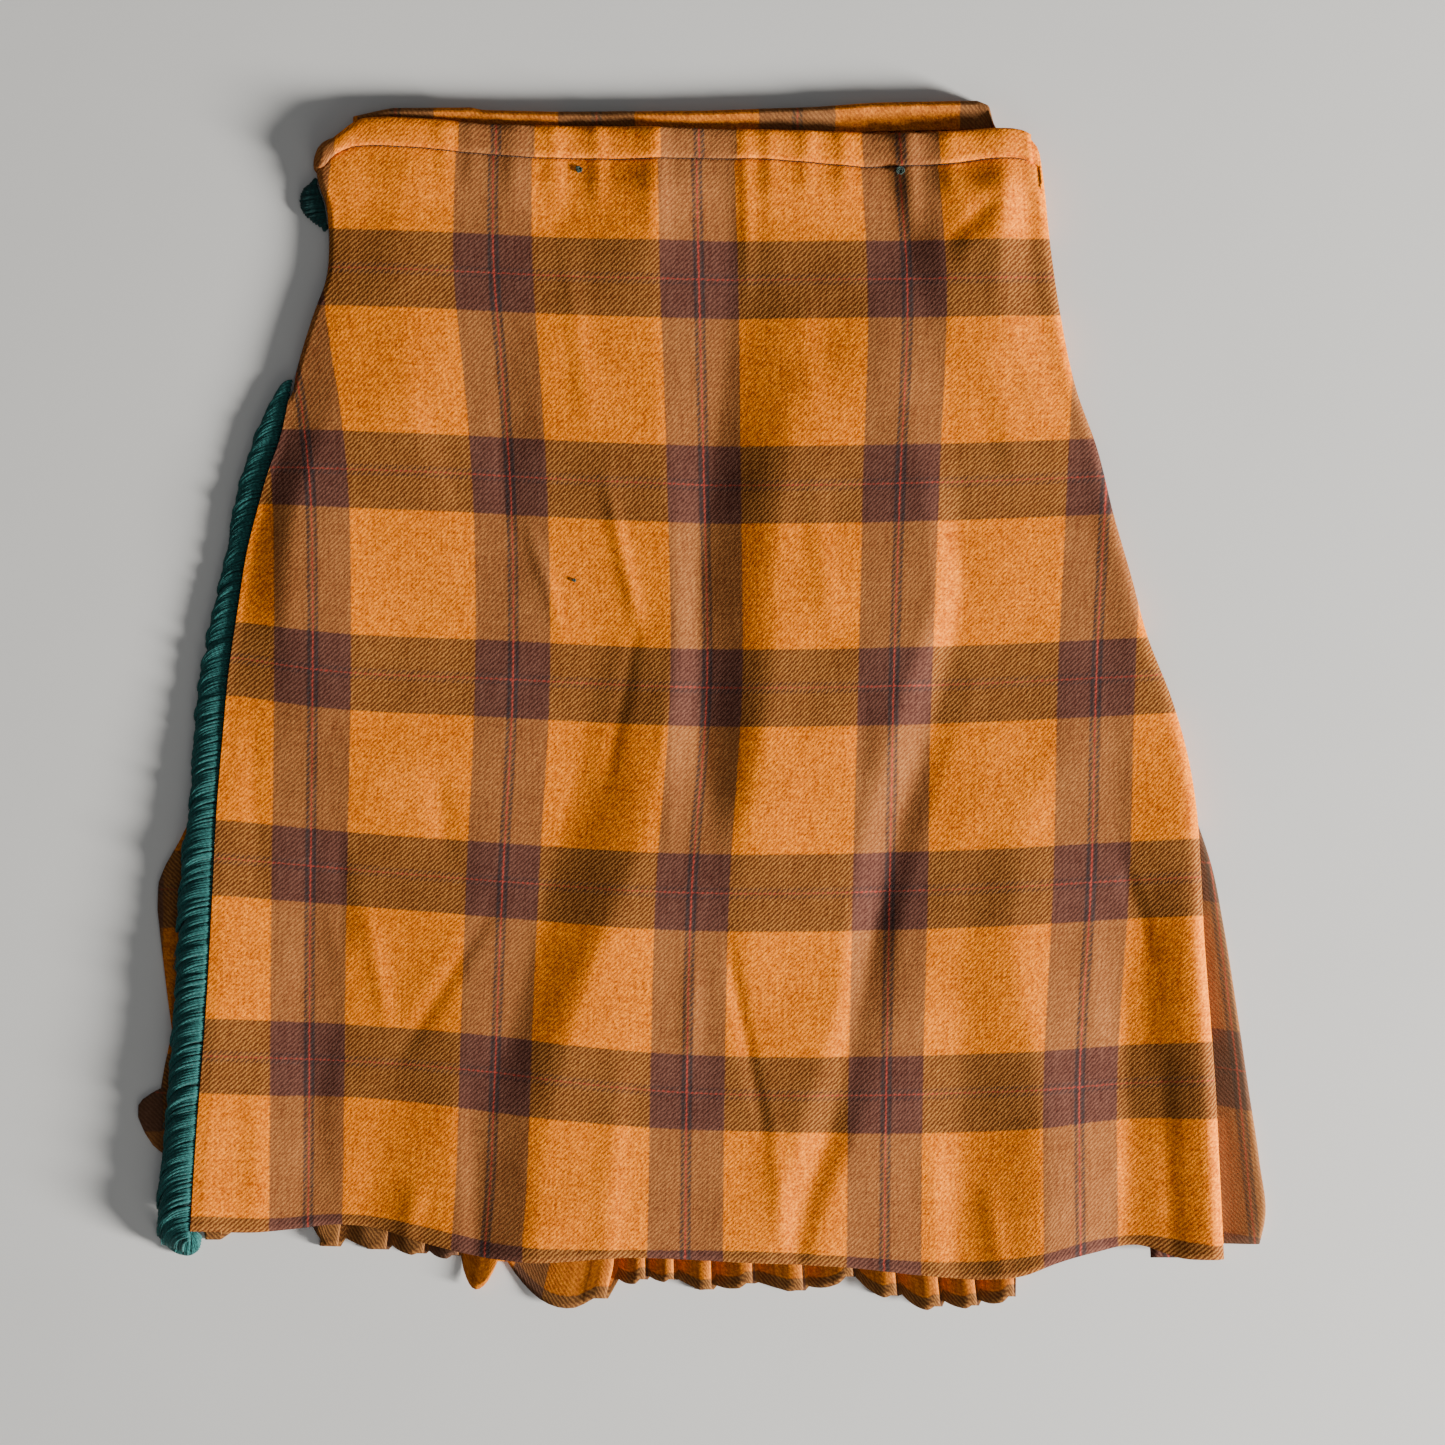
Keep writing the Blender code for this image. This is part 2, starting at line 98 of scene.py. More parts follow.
def chart(columns, rows):
    return dict(zip(columns.split(), np.array(rows, float).T))


def follow(table, at, column=None, rounded=True):
    # a column, the second if none is named, at values of the first: a curve, or straight lines
    names = list(table)
    order = np.argsort(table[names[0]])
    xs, ys = table[names[0]][order], table[column or names[1]][order]
    at = np.asarray(at, float)
    if not rounded or len(xs) < 3:
        return np.interp(at, xs, ys)
    slopes = np.gradient(ys, xs)
    i = np.clip(np.searchsorted(xs, at) - 1, 0, len(xs) - 2)
    width = xs[i + 1] - xs[i]
    t = unit((at - xs[i]) / width)
    bend = (slopes[i] * (1 - t) - slopes[i + 1] * t) * width + (ys[i + 1] - ys[i]) * (2 * t - 1)
    return mix(ys[i], ys[i + 1], t) + t * (1 - t) * bend


def seamX(name, y):
    return mix(*seams[name], (waistLine - y) / (waistLine - hemLine))


def ripple(x, y, size, seed):
    # soft unevenness from -1 to 1 over the cloth
    points = zip(np.ravel(x) / size, np.ravel(y) / size)
    values = [noise.noise(Vector((a, b, seed))) for a, b in points]
    return np.reshape(values, np.shape(x)) * 1.6


# The camera and the lights

view = {"lens": 80.0, "height": 1.75, "photoMiddle": 722.5}

camera = bpy.data.objects.new("camera", bpy.data.cameras.new("camera"))
bpy.context.scene.collection.objects.link(camera)
camera.data.lens = view["lens"]
camera.location = (fromX(view["photoMiddle"]) * mm, fromY(view["photoMiddle"]) * mm, view["height"])
bpy.context.scene.camera = camera

lamps = [  # place in metres, size, power and warmth
    {"name": "window", "at": (3.9, -1.3, 1.05), "size": 1.0, "watts": 745, "colour": (1.0, 0.97, 0.92)},
    {"name": "fill", "at": (-1.6, -1.4, 2.0), "size": 2.2, "watts": 4, "colour": (0.93, 0.96, 1.0)},
    {"name": "top", "at": (0.3, 0.2, 2.6), "size": 1.8, "watts": 4, "colour": (1.0, 0.99, 0.97)},
    {"name": "low", "at": (0.5, -1.5, 0.9), "size": 1.2, "watts": 6, "colour": (1.0, 0.98, 0.93)},
]
for lamp in lamps:
    data = bpy.data.lights.new(lamp["name"], "AREA")
    data.shape = "DISK"
    data.size = lamp["size"]
    data.energy = lamp["watts"]
    data.color = lamp["colour"]
    light = bpy.data.objects.new(lamp["name"], data)
    light.location = lamp["at"]
    light.rotation_euler = (-Vector(lamp["at"])).to_track_quat("-Z", "Y").to_euler()
    bpy.context.scene.collection.objects.link(light)

world = bpy.context.scene.world or bpy.data.worlds.new("room")
bpy.context.scene.world = world
world.use_nodes = True
world.node_tree.nodes["Background"].inputs["Color"].default_value = (0.86, 0.88, 0.9, 1)
world.node_tree.nodes["Background"].inputs["Strength"].default_value = 0.09
print("camera and lights: done")


# The tartan, on the cloth's own chart: u across the stripes and v along them, in metres

tartan = {
    "pitch": 0.112,  # from one brown band to the next, both ways
    "band": 0.0213,  # half a band's width
    "dark": 0.0031,  # half the width of the dark line in a band's middle
    "red": 0.00042,  # and of the red thread inside it
    "thread": 0.00068,
    "ochre": (0.94, 0.248, 0.001),
    "ochreDeep": (0.68, 0.15, 0.0),
    "warpBrown": (0.225, 0.07, 0.02),  # upright bands on ochre: dark and light twill lines
    "warpTan": (0.38, 0.145, 0.042),
    "weftBrown": (0.165, 0.048, 0.011),  # level bands
    "weftTan": (0.365, 0.14, 0.032),
    "plum": (0.088, 0.031, 0.022),  # where two bands cross
    "plumLight": (0.165, 0.066, 0.044),
    "navy": (0.017, 0.024, 0.028),
    "scarlet": (0.40, 0.05, 0.035),
    "inside": (0.115, 0.066, 0.03),  # painted shade: the dark brown that the wrong-side pieces are blended towards, and by how much
    "insideShare": 0.42,
}


class Nodes:
    # a short way to write shader maths
    def __init__(self, tree):
        self.tree = tree

    def add(self, kind, **values):
        node = self.tree.nodes.new(kind)
        for name, value in values.items():
            setattr(node, name, value)
        return node

    def wire(self, value, socket):
        if isinstance(value, bpy.types.NodeSocket):
            self.tree.links.new(value, socket)
        else:
            socket.default_value = value

    def maths(self, operation, *values):
        node = self.add("ShaderNodeMath", operation=operation)
        for value, socket in zip(values, node.inputs):
            self.wire(value, socket)
        return node.outputs[0]

    def plus(self, a, b):
        return self.maths("ADD", a, b)

    def times(self, a, b):
        return self.maths("MULTIPLY", a, b)

    def range(self, value, low, high, start=0.0, end=1.0, steps="SMOOTHSTEP"):
        node = self.add("ShaderNodeMapRange", interpolation_type=steps)
        names = ("Value", "From Min", "From Max", "To Min", "To Max")
        for name, given in zip(names, (value, low, high, start, end)):
            self.wire(given, node.inputs[name])
        return node.outputs["Result"]

    def line(self, value, low, high, start, end):
        return self.range(value, low, high, start, end, "LINEAR")

    def blend(self, share, a, b, mode="MIX"):
        node = self.add("ShaderNodeMix", data_type="RGBA", blend_type=mode)
        self.wire(share, node.inputs["Factor"])
        self.wire((*a, 1) if isinstance(a, tuple) else a, node.inputs["A"])
        self.wire((*b, 1) if isinstance(b, tuple) else b, node.inputs["B"])
        return node.outputs["Result"]

    def noise(self, vector, scale, detail=2.0, rough=0.5):
        node = self.add("ShaderNodeTexNoise")
        self.wire(vector, node.inputs["Vector"])
        node.inputs["Scale"].default_value = scale
        node.inputs["Detail"].default_value = detail
        node.inputs["Roughness"].default_value = rough
        return node.outputs["Fac"]

    def scaled(self, vector, scale):
        node = self.add("ShaderNodeMapping")
        node.inputs["Scale"].default_value = scale
        self.wire(vector, node.inputs["Vector"])
        return node.outputs["Vector"]

    def split(self, vector):
        node = self.add("ShaderNodeSeparateXYZ")
        self.wire(vector, node.inputs[0])
        return node.outputs["X"], node.outputs["Y"]


def newMaterial(name, settings):
    # a material, its shader with these settings, and a short way to write its nodes
    material = bpy.data.materials.new(name)
    material.use_nodes = True
    shader = material.node_tree.nodes["Principled BSDF"]
    for socket, value in settings.items():
        shader.inputs[socket].default_value = value
    return material, shader, Nodes(material.node_tree)


def addBump(n, shader, height, strength, distance):
    bump = n.add("ShaderNodeBump")
    bump.inputs["Strength"].default_value = strength
    bump.inputs["Distance"].default_value = distance
    n.wire(height, bump.inputs["Height"])
    n.wire(bump.outputs["Normal"], shader.inputs["Normal"])


def stripeMasks(n, along):
    # how far a thread is into a band, its dark middle line and its red line
    t = tartan
    turn = n.maths("FRACT", n.plus(n.maths("DIVIDE", along, t["pitch"]), 0.5))
    away = n.times(n.maths("ABSOLUTE", n.maths("SUBTRACT", turn, 0.5)), t["pitch"])
    band = n.range(away, t["band"] - 0.0005, t["band"] + 0.0005, 1.0, 0.0)
    dark = n.range(away, t["dark"] - 0.0007, t["dark"] + 0.0006, 1.0, 0.0)
    hollow = n.range(away, 0.0006, 0.0018, 0.45, 1.0)
    red = n.range(away, t["red"] * 0.6, t["red"] * 1.5, 1.0, 0.0)
    return band, n.times(dark, hollow), red


def weaveGroup():
    group = bpy.data.node_groups.new("tartan cloth", "ShaderNodeTree")
    group.interface.new_socket("Chart", in_out="INPUT", socket_type="NodeSocketVector")
    for name, kind in (("Color", "Color"), ("Height", "Float"), ("Nap", "Float")):
        group.interface.new_socket(name, in_out="OUTPUT", socket_type="NodeSocket" + kind)
    flat = group.nodes.new("NodeGroupInput").outputs["Chart"]
    out = group.nodes.new("NodeGroupOutput").inputs
    n, t = Nodes(group), tartan
    shaken = n.add("ShaderNodeTexNoise", noise_dimensions="2D")
    n.wire(flat, shaken.inputs["Vector"])
    shaken.inputs["Scale"].default_value = 420
    shaken.inputs["Detail"].default_value = 2
    shake = n.add("ShaderNodeVectorMath", operation="MULTIPLY_ADD")
    n.wire(shaken.outputs["Color"], shake.inputs[0])
    shake.inputs[1].default_value = (0.0012, 0.0012, 0)
    n.wire(flat, shake.inputs[2])
    u, v = n.split(shake.outputs[0])
    warpBand, warpDark, warpRed = stripeMasks(n, u)
    weftBand, weftDark, weftRed = stripeMasks(n, v)

    # twill: each warp thread lies over two weft threads and under two, one further along each time
    turn = n.maths("FRACT", n.maths("DIVIDE", n.maths("SUBTRACT", u, v), 4 * t["thread"]))
    ridge = n.maths("ABSOLUTE", n.maths("SUBTRACT", n.times(turn, 2.0), 1.0))
    fuzz = n.noise(flat, 900, 3, 0.7)
    frayed = n.plus(ridge, n.line(fuzz, 0.25, 0.75, -0.3, 0.3))
    warpTop = n.range(frayed, 0.1, 0.9)
    threadAcross = n.maths("ABSOLUTE", n.maths("SINE", n.times(u, pi / t["thread"])))
    threadAlong = n.maths("ABSOLUTE", n.maths("SINE", n.times(v, pi / t["thread"])))
    weftTop = n.maths("SUBTRACT", 1.0, warpTop)
    thread = n.plus(n.times(threadAcross, warpTop), n.times(threadAlong, weftTop))

    # cloudy unevenness, patches, slubs along the threads, grain and the fibres on top
    cloud = n.noise(flat, 26, 3, 0.55)
    patch = n.noise(flat, 230, 3, 0.6)
    grain = n.noise(flat, 640, 2, 0.6)
    fibre = n.noise(flat, 1300, 2, 0.7)
    slubs = [n.noise(n.scaled(flat, drawn), 1.0, 1, 0.5) for drawn in ((700, 45, 1), (45, 700, 1))]

    # ochre ground, and the bands over it
    uneven = n.plus(n.times(grain, 0.65), n.times(patch, 0.35))
    deep = n.range(uneven, 0.36, 0.62)
    ochre = n.blend(deep, t["ochreDeep"], t["ochre"])
    warpOn = n.range(warpTop, 0.35, 0.9, 0.0, 1.0)
    upright = n.blend(warpOn, t["warpTan"], t["warpBrown"])
    level = n.blend(n.range(warpTop, 0.3, 0.85, 0.0, 1.0), t["weftBrown"], t["weftTan"])
    plum = n.blend(n.times(warpTop, 0.75), t["plum"], t["plumLight"])
    colour = n.blend(warpBand, ochre, upright)
    colour = n.blend(weftBand, colour, n.blend(warpBand, level, plum))
    warpShow = n.range(warpTop, 0.2, 0.8, 0.5, 0.85)
    weftShow = n.range(warpTop, 0.2, 0.8, 0.7, 0.1)
    colour = n.blend(n.times(n.times(weftDark, weftShow), 0.55), colour, t["navy"])
    colour = n.blend(n.times(n.times(warpDark, warpShow), 0.9), colour, t["navy"])
    colour = n.blend(n.times(weftRed, weftShow), colour, t["scarlet"])
    colour = n.blend(n.times(warpRed, warpShow), colour, t["scarlet"])

    # one brightness factor: the tone that differs at random, then painted shade of the weave's relief
    light = n.line(cloud, 0.3, 0.7, -0.1, 0.1)
    for part, amount in ((patch, 0.13), (grain, 0.22), (fibre, 0.24), (slubs[0], 0.16), (slubs[1], 0.1)):
        light = n.plus(light, n.line(part, 0.28, 0.72, -amount, amount))
    # painted shade: darker between the threads and along the twill's grooves, lighter on their crowns
    light = n.plus(light, n.line(thread, 0.0, 1.0, -0.1, 0.08))
    light = n.plus(light, n.line(ridge, 0.0, 1.0, -0.12, 0.1))
    toneAndReliefShade = n.add("ShaderNodeCombineColor")
    for name, strength in (("Red", 0.85), ("Green", 1.1), ("Blue", 1.05)):
        n.wire(n.maths("MAXIMUM", n.maths("MULTIPLY_ADD", light, strength, 1.0), 0.1), toneAndReliefShade.inputs[name])
    colour = n.blend(1.0, colour, toneAndReliefShade.outputs[0], "MULTIPLY")
    n.wire(colour, out["Color"])
    height = n.plus(n.times(ridge, 0.6), n.times(thread, 0.3))
    height = n.plus(height, n.times(grain, 0.5))
    n.wire(n.plus(height, n.times(fibre, 0.5)), out["Height"])
    n.wire(fibre, out["Nap"])
    return group


def clothMaterial(name, inside):
    material, shader, n = newMaterial(name, {
        "Sheen Weight": 0.03,
        "Sheen Roughness": 0.5,
        "Sheen Tint": (1.0, 0.6, 0.25, 1),
        "Specular IOR Level": 0.05,
    })
    chartMap = n.add("ShaderNodeUVMap", uv_map="cloth").outputs["UV"]
    weave = n.add("ShaderNodeGroup", node_tree=tartanWeave)
    n.wire(n.scaled(chartMap, (-1 if inside else 1, 1, 1)), weave.inputs["Chart"])
    colour = weave.outputs["Color"]
    # painted shade: the wrong-side pieces are blended towards a dark brown
    if inside:
        colour = n.blend(tartan["insideShare"], colour, tartan["inside"])
    n.wire(colour, shader.inputs["Base Color"])
    n.wire(n.line(weave.outputs["Nap"], 0.2, 0.8, 0.82, 0.98), shader.inputs["Roughness"])
    addBump(n, shader, weave.outputs["Height"], 0.8, 0.0002)
    return material


tartanWeave = weaveGroup()
rightSide = clothMaterial("kiltCloth", False)
shadedWrongSide = clothMaterial("kiltClothInsidePaintedShade", True)
print("tartan: done")


# Where the tartan's bands run across the face, in pixels of the photograph:
# the centre line of each upright band, from left to right
bandAcross = [chart("y x", rows) for rows in [
    [(110, 300), (165, 296), (200, 291), (280, 286), (307, 288), (341, 293), (372, 298), (400, 303.5),
     (433, 308), (480, 313), (600, 316.5), (700, 316), (900, 313), (1200, 311), (1260, 310)],
    [(130, 496), (270, 496), (380, 505), (480, 512), (680, 515), (880, 505), (1080, 497), (1180, 493),
     (1245, 487.5)],
    [(130, 697), (280, 700), (480, 705), (690, 708), (890, 693), (1090, 688), (1250, 686.5)],
    [(130, 896), (280, 907), (480, 900), (690, 893), (890, 890), (1090, 886), (1265, 884)],
    [(130, 1100), (280, 1112), (480, 1105), (680, 1095), (880, 1090), (1080, 1078), (1250, 1079)],
]]
# and of each level band, from the waist to the hem
bandDown = [chart("x y", rows) for rows in [
    [(330, 267.5), (450, 272), (590, 278), (700, 280.5), (850, 281), (1050, 279), (1120, 277)],
    [(290, 467.5), (450, 473), (620, 482), (760, 486), (900, 484), (1080, 477.5), (1150, 474)],
    [(240, 657), (313, 668), (500, 678), (700, 686.5), (900, 685), (1140, 675), (1180, 673)],
    [(225, 856.5), (430, 874), (700, 890.5), (900, 889), (1190, 875)],
    [(210, 1052.5), (430, 1063), (700, 1089.5), (900, 1091), (1205, 1076.5)],
    [(200, 1249), (290, 1251.5), (323, 1247.7), (368, 1248), (402, 1254), (455, 1267), (491, 1276.5),
     (527, 1280.5), (640, 1281.5), (774, 1283), (841, 1288), (923, 1296), (960, 1297), (1011, 1292),
     (1046, 1285), (1082, 1274), (1113, 1269), (1144, 1267), (1184, 1274), (1219, 1280)],
]]
sett = {"across": 203.0, "down": 202.0, "mm": 112.0}


def pick(table, i):
    return np.take_along_axis(table, i[None], 0)[0]


def countBands(tables, across, value, spacing):
    # which band a point lies at, as a number with its fraction: 1 on the first centre line
    lines = [follow(t, across) for t in tables]
    lines = np.array([lines[0] - spacing] + lines + [lines[-1] + spacing])
    i = np.clip((lines[1:-1] <= value).sum(0), 0, len(lines) - 2)
    low, high = pick(lines, i), pick(lines, i + 1)
    return i + (value - low) / (high - low)


def faceChart(x, y):
    px, py = toX(x), toY(y)
    u = countBands(bandAcross, py, px, sett["across"]) * sett["mm"]
    v = -countBands(bandDown, px, py, sett["down"]) * sett["mm"]
    return u, v


def meshFrom(name, bm):
    mesh = bpy.data.meshes.new(name)
    bm.to_mesh(mesh)
    bm.free()
    return mesh


def pointsOf(mesh):
    points = np.empty(len(mesh.vertices) * 3)
    mesh.vertices.foreach_get("co", points)
    return points.reshape(-1, 3)


def addPiece(name, mesh, points, layerName, uv, material):
    # places the points, charts the corners and puts the mesh in the scene
    mesh.vertices.foreach_set("co", (points * mm).ravel())
    corners = np.empty(len(mesh.loops), dtype=np.int32)
    mesh.loops.foreach_get("vertex_index", corners)
    mesh.uv_layers.new(name=layerName).data.foreach_set("uv", uv[corners].ravel())
    mesh.materials.append(material)
    mesh.shade_smooth()
    mesh.update()
    piece = bpy.data.objects.new(name, mesh)
    bpy.context.scene.collection.objects.link(piece)
    return piece


# A piece of cloth: a grid whose points are placed and charted by place(column, row)

def makeCloth(name, columns, rows, place, material):
    columns, rows = np.asarray(columns, float), np.asarray(rows, float)
    bm = bmesh.new()
    bmesh.ops.create_grid(bm, x_segments=len(columns) - 1, y_segments=len(rows) - 1, size=0.5)
    mesh = meshFrom(name, bm)
    spots = pointsOf(mesh)
    i = np.rint((spots[:, 0] + 0.5) * (len(columns) - 1)).astype(int)
    j = np.rint((0.5 - spots[:, 1]) * (len(rows) - 1)).astype(int)
    x, y, z, u, v = place(columns[i], rows[j])
    piece = addPiece(name, mesh, np.stack([x, y, z], 1), "cloth", np.stack([u, v], 1) * mm, material)
    wall = piece.modifiers.new("wall", "SOLIDIFY")
    wall.thickness = shellWall * mm
    wall.offset = 0
    wall.use_quality_normals = True
    return piece


def steps(*parts):
    # evenly spaced values between stops: (start, count), (next, count), ..., end
    values = []
    for (start, count), (end, _) in zip(parts, parts[1:]):
        values += list(np.linspace(start, end, count, endpoint=False))
    return values + [parts[-1][0]]


# Front apron: the face, its edge round the left side and the cloth under the right fold.
# A column runs from -1 to 0 round the left side, to 1 over the face, to 2 round the right fold
# and to 3 under it. A row runs from 0 at the top edge to 1 at the hem.

front = {
    "columns": (20, 190, 10, 8),  # round the side, over the face, the fold, under it
    "rows": (7, 12, 172),  # above, along and below the waistband's seam
    "topInset": 2.2,  # from the waistband's top edge to the apron's own
    "leftTopFall": 8.0,
    "seamGroove": (16.3, 1.0, 0.6),  # under the waistband's seam: distance down, half width, depth
    "seamFrom": 332,  # the waistband's two ends, in pixels
    "seamTo": 1038,
    "turnUnder": 35.0,
    "turnEdge": (38, 50),  # the turned-under cloth holds the face up to here, in from the right edge
    "turnShare": 0.6,  # share of the side's columns that go round the left turn
    "turnTop": 294.0,
    "bandRise": 2.8,  # what the waistbands' inner legs lift it by, down to here
    "bandEdge": (19, 55),
    "foldFrom": (15, 36),  # distance below the top edge over which the folds begin
    "foldScale": 1.1,  # on the heights of the fold lines below
    "foldRound": 0.55,  # 0 for straight slopes from ridge to valley, 1 for rounded ones
    "bandFolds": 0.35,  # how much of the folds is left under the waistband
    "leftDrop": 2.2,  # beyond the under apron's edge it lies lower by this
    "ledge": (10, 16),  # the drop starts this far before that edge, and is this wide
    "leftFall": (1.2, 13.0),  # the waist's left end falls by this, over this, above these y
    "leftFallFrom": (255, 290),
    "clear": 0.25,  # the face stays this far off the cloth under it, at least
    "roll": (1.3, 8.0),  # the right edge rounds off by this, over this
    "atHem": 1255,  # a crease that ends below this pixel runs off the hem
    "ripples": [(62.0, 0.75, 3.0), (24.0, 0.2, 9.0)],  # size, height, seed
}
frontLeft = chart("y x", [
    (312, -201), (306, -205), (298, -208.5), (290, -209.5), (282, -208), (272, -204.5), (262, -203.2),
    (250, -202.8), (229, -205.1), (216.5, -209.8), (201, -215), (183, -220.2), (168.6, -223.5),
    (157, -225.6), (143.6, -228.8), (128, -234.4), (103, -241.5), (86, -245.8), (53, -251.2), (18, -256.3),
    (-15, -259.3), (-55, -262.5), (-107, -265), (-164, -268), (-230, -273), (-285, -276.5)])
frontRight = chart("y x", [
    (304, 183), (290, 185), (246, 190), (218, 194), (170, 204), (139, 215), (103, 224), (68, 234),
    (38, 242), (3, 255.5), (-27, 264), (-58, 269), (-88, 271), (-128, 273), (-168, 276),
    (-209, 279), (-249, 281), (-300, 283.5)])
frontTop = chart("u y", [
    (0, 307.5), (0.006, 311), (0.013, 313.8), (0.022, 316), (0.034, 317.9), (0.05, 318.5), (0.071, 318.7),
    (0.14, 317.4), (0.196, 315.3), (0.287, 314), (0.409, 313.4), (0.494, 312.8), (0.665, 311.4),
    (0.803, 309.8), (0.888, 310.8), (0.936, 312.3), (0.965, 312.2), (0.982, 311.2), (0.992, 309),
    (1, 304.5)])
seamDepth = chart("x share", [  # how deep the waistband is there, against its usual depth
    (332, 0.94), (347, 0.92), (470, 0.96), (534, 1.05), (620, 1.08), (680, 1.0), (765, 0.96), (825, 1.08),
    (864, 1.16), (893, 1.1), (947, 1.08), (983, 1.0), (1038, 0.95)])
frontHem = chart("u y", [
    (0, -285), (0.054, -286), (0.09, -284.5), (0.132, -282), (0.181, -285), (0.21, -290),
    (0.239, -294), (0.275, -298.5), (0.317, -301), (0.421, -298.7), (0.527, -301.4),
    (0.643, -304.7), (0.71, -309), (0.776, -311), (0.81, -308.5), (0.838, -302.5),
    (0.882, -296.5), (0.925, -293), (0.965, -299.5), (1, -300)])
leftTurn = chart("y angle length", [  # how far round the side the free edge turns
    (308, 180, 14), (286, 180, 17), (245, 180, 30), (218, 180, 26), (192, 180, 11), (176, 60, 2.8),
    (164, 0, 0)])
# ridges and valleys from left to right: pixels, then mm above the apron's rest
foldLines = [chart("y x z", rows) for rows in [
    [(120, 330, 0), (300, 318, 0), (400, 289, 0.2), (500, 261, 0.3), (640, 234, 0.5), (760, 216, 1.5),
     (900, 200, 3.6), (1050, 192, 5.4), (1260, 178, 6.0)],
    [(120, 362, 1.4), (300, 350, 1.2), (420, 330, 2.4), (500, 303, 4.0), (640, 292, 3.9), (760, 306, 2.0),
     (880, 316, 0.6), (1050, 318, 0), (1260, 316, 0)],
    [(120, 410, 2.2), (300, 400, 2.3), (460, 420, 2.4), (600, 400, 2.4), (760, 420, 2.6), (880, 400, 1.9),
     (1050, 386, 1.6), (1160, 370, 1.0), (1260, 370, 1.0)],
    [(120, 512, 1.2), (300, 500, 1.4), (420, 504, 0.3), (520, 510, 0.1), (600, 520, 0.6), (700, 502, 1.8),
     (850, 480, 2.4), (1000, 466, 4.2), (1260, 462, 6.0)],
    [(120, 556, 0), (200, 554, 0.1), (300, 560, 1.9), (460, 548, 1.8), (560, 562, 1.2), (640, 590, 0.9),
     (720, 588, 0.6), (800, 572, 0.6), (900, 545, 2.0), (1000, 520, 3.2), (1100, 490, 4.6),
     (1260, 480, 6.0)],
    [(120, 650, 5.4), (200, 650, 5.5), (300, 652, 3.6), (460, 662, 3.2), (560, 672, 3.8), (650, 674, 4.2),
     (740, 664, 5.6), (800, 654, 6.6), (880, 630, 7.6), (960, 596, 8.4), (1100, 556, 9.2),
     (1260, 534, 9.4)],
    [(120, 722, 1.2), (300, 728, 0.8), (440, 716, 0.3), (560, 702, 0), (660, 701, 0.2), (760, 706, 1.8),
     (850, 712, 6.2), (950, 706, 5.2), (1050, 708, 5.6), (1260, 690, 7.0)],
    [(120, 775, 2.0), (300, 786, 3.8), (440, 792, 6.4), (560, 776, 7.4), (660, 776, 6.8), (760, 760, 6.6),
     (850, 746, 7.0), (950, 746, 5.8), (1100, 748, 6.3), (1260, 744, 7.4)],
    [(120, 836, 1.6), (210, 855, 2.6), (300, 874, 5.6), (450, 914, 7.0), (540, 928, 7.0), (600, 930, 7.2),
     (660, 912, 7.4), (700, 899, 7.0), (770, 878, 6.0), (850, 856, 5.6), (920, 846, 5.8),
     (1000, 836, 6.4), (1060, 820, 7.0), (1130, 796, 7.4), (1200, 778, 7.4), (1260, 766, 7.2)],
    [(120, 878, 0.2), (210, 898, 1.6), (300, 918, 5.6), (450, 956, 5.0), (540, 958, 3.8), (600, 960, 3.2),
     (660, 948, 1.8), (700, 937, 1.2), (770, 917, 0.4), (850, 892, 0.4), (920, 876, 0.8),
     (1000, 860, 3.9), (1060, 848, 4.9), (1130, 828, 4.8), (1200, 806, 5.2), (1260, 792, 5.6)],
    [(120, 930, 3.8), (210, 938, 4.6), (300, 950, 7.0), (450, 990, 4.8), (600, 1000, 3.6),
     (700, 972, 2.6), (800, 940, 2.4), (860, 920, 2.6), (920, 904, 3.4), (1000, 894, 4.9),
     (1060, 880, 5.9), (1130, 856, 6.6), (1200, 828, 6.8), (1260, 814, 6.8)],
    [(120, 966, 6.4), (300, 974, 7.2), (500, 1016, 4.6), (700, 1014, 3.2), (850, 970, 3.6),
     (950, 958, 4.2), (1050, 960, 4.2), (1150, 958, 2.9), (1260, 958, 3.3)],
    [(120, 1000, 9.2), (240, 1000, 8.8), (300, 996, 7.6), (400, 1024, 5.2), (500, 1046, 4.4),
     (700, 1064, 4.0), (850, 1020, 5.0), (950, 1012, 6.6), (1050, 1032, 8.0), (1150, 1040, 8.6),
     (1260, 1042, 8.8)],
    [(120, 1024, 5.0), (300, 1036, 4.0), (450, 1078, 3.8), (600, 1100, 3.6), (760, 1112, 2.8),
     (860, 1118, 1.8), (930, 1130, 0.8), (1000, 1130, 0.3), (1100, 1126, 0.2), (1260, 1124, 0.2)],
    [(120, 1036, 4.4), (300, 1052, 4.2), (450, 1090, 4.0), (600, 1130, 4.0), (760, 1172, 4.6),
     (860, 1184, 6.0), (1000, 1194, 7.4), (1100, 1204, 8.0), (1260, 1212, 8.2)],
]]
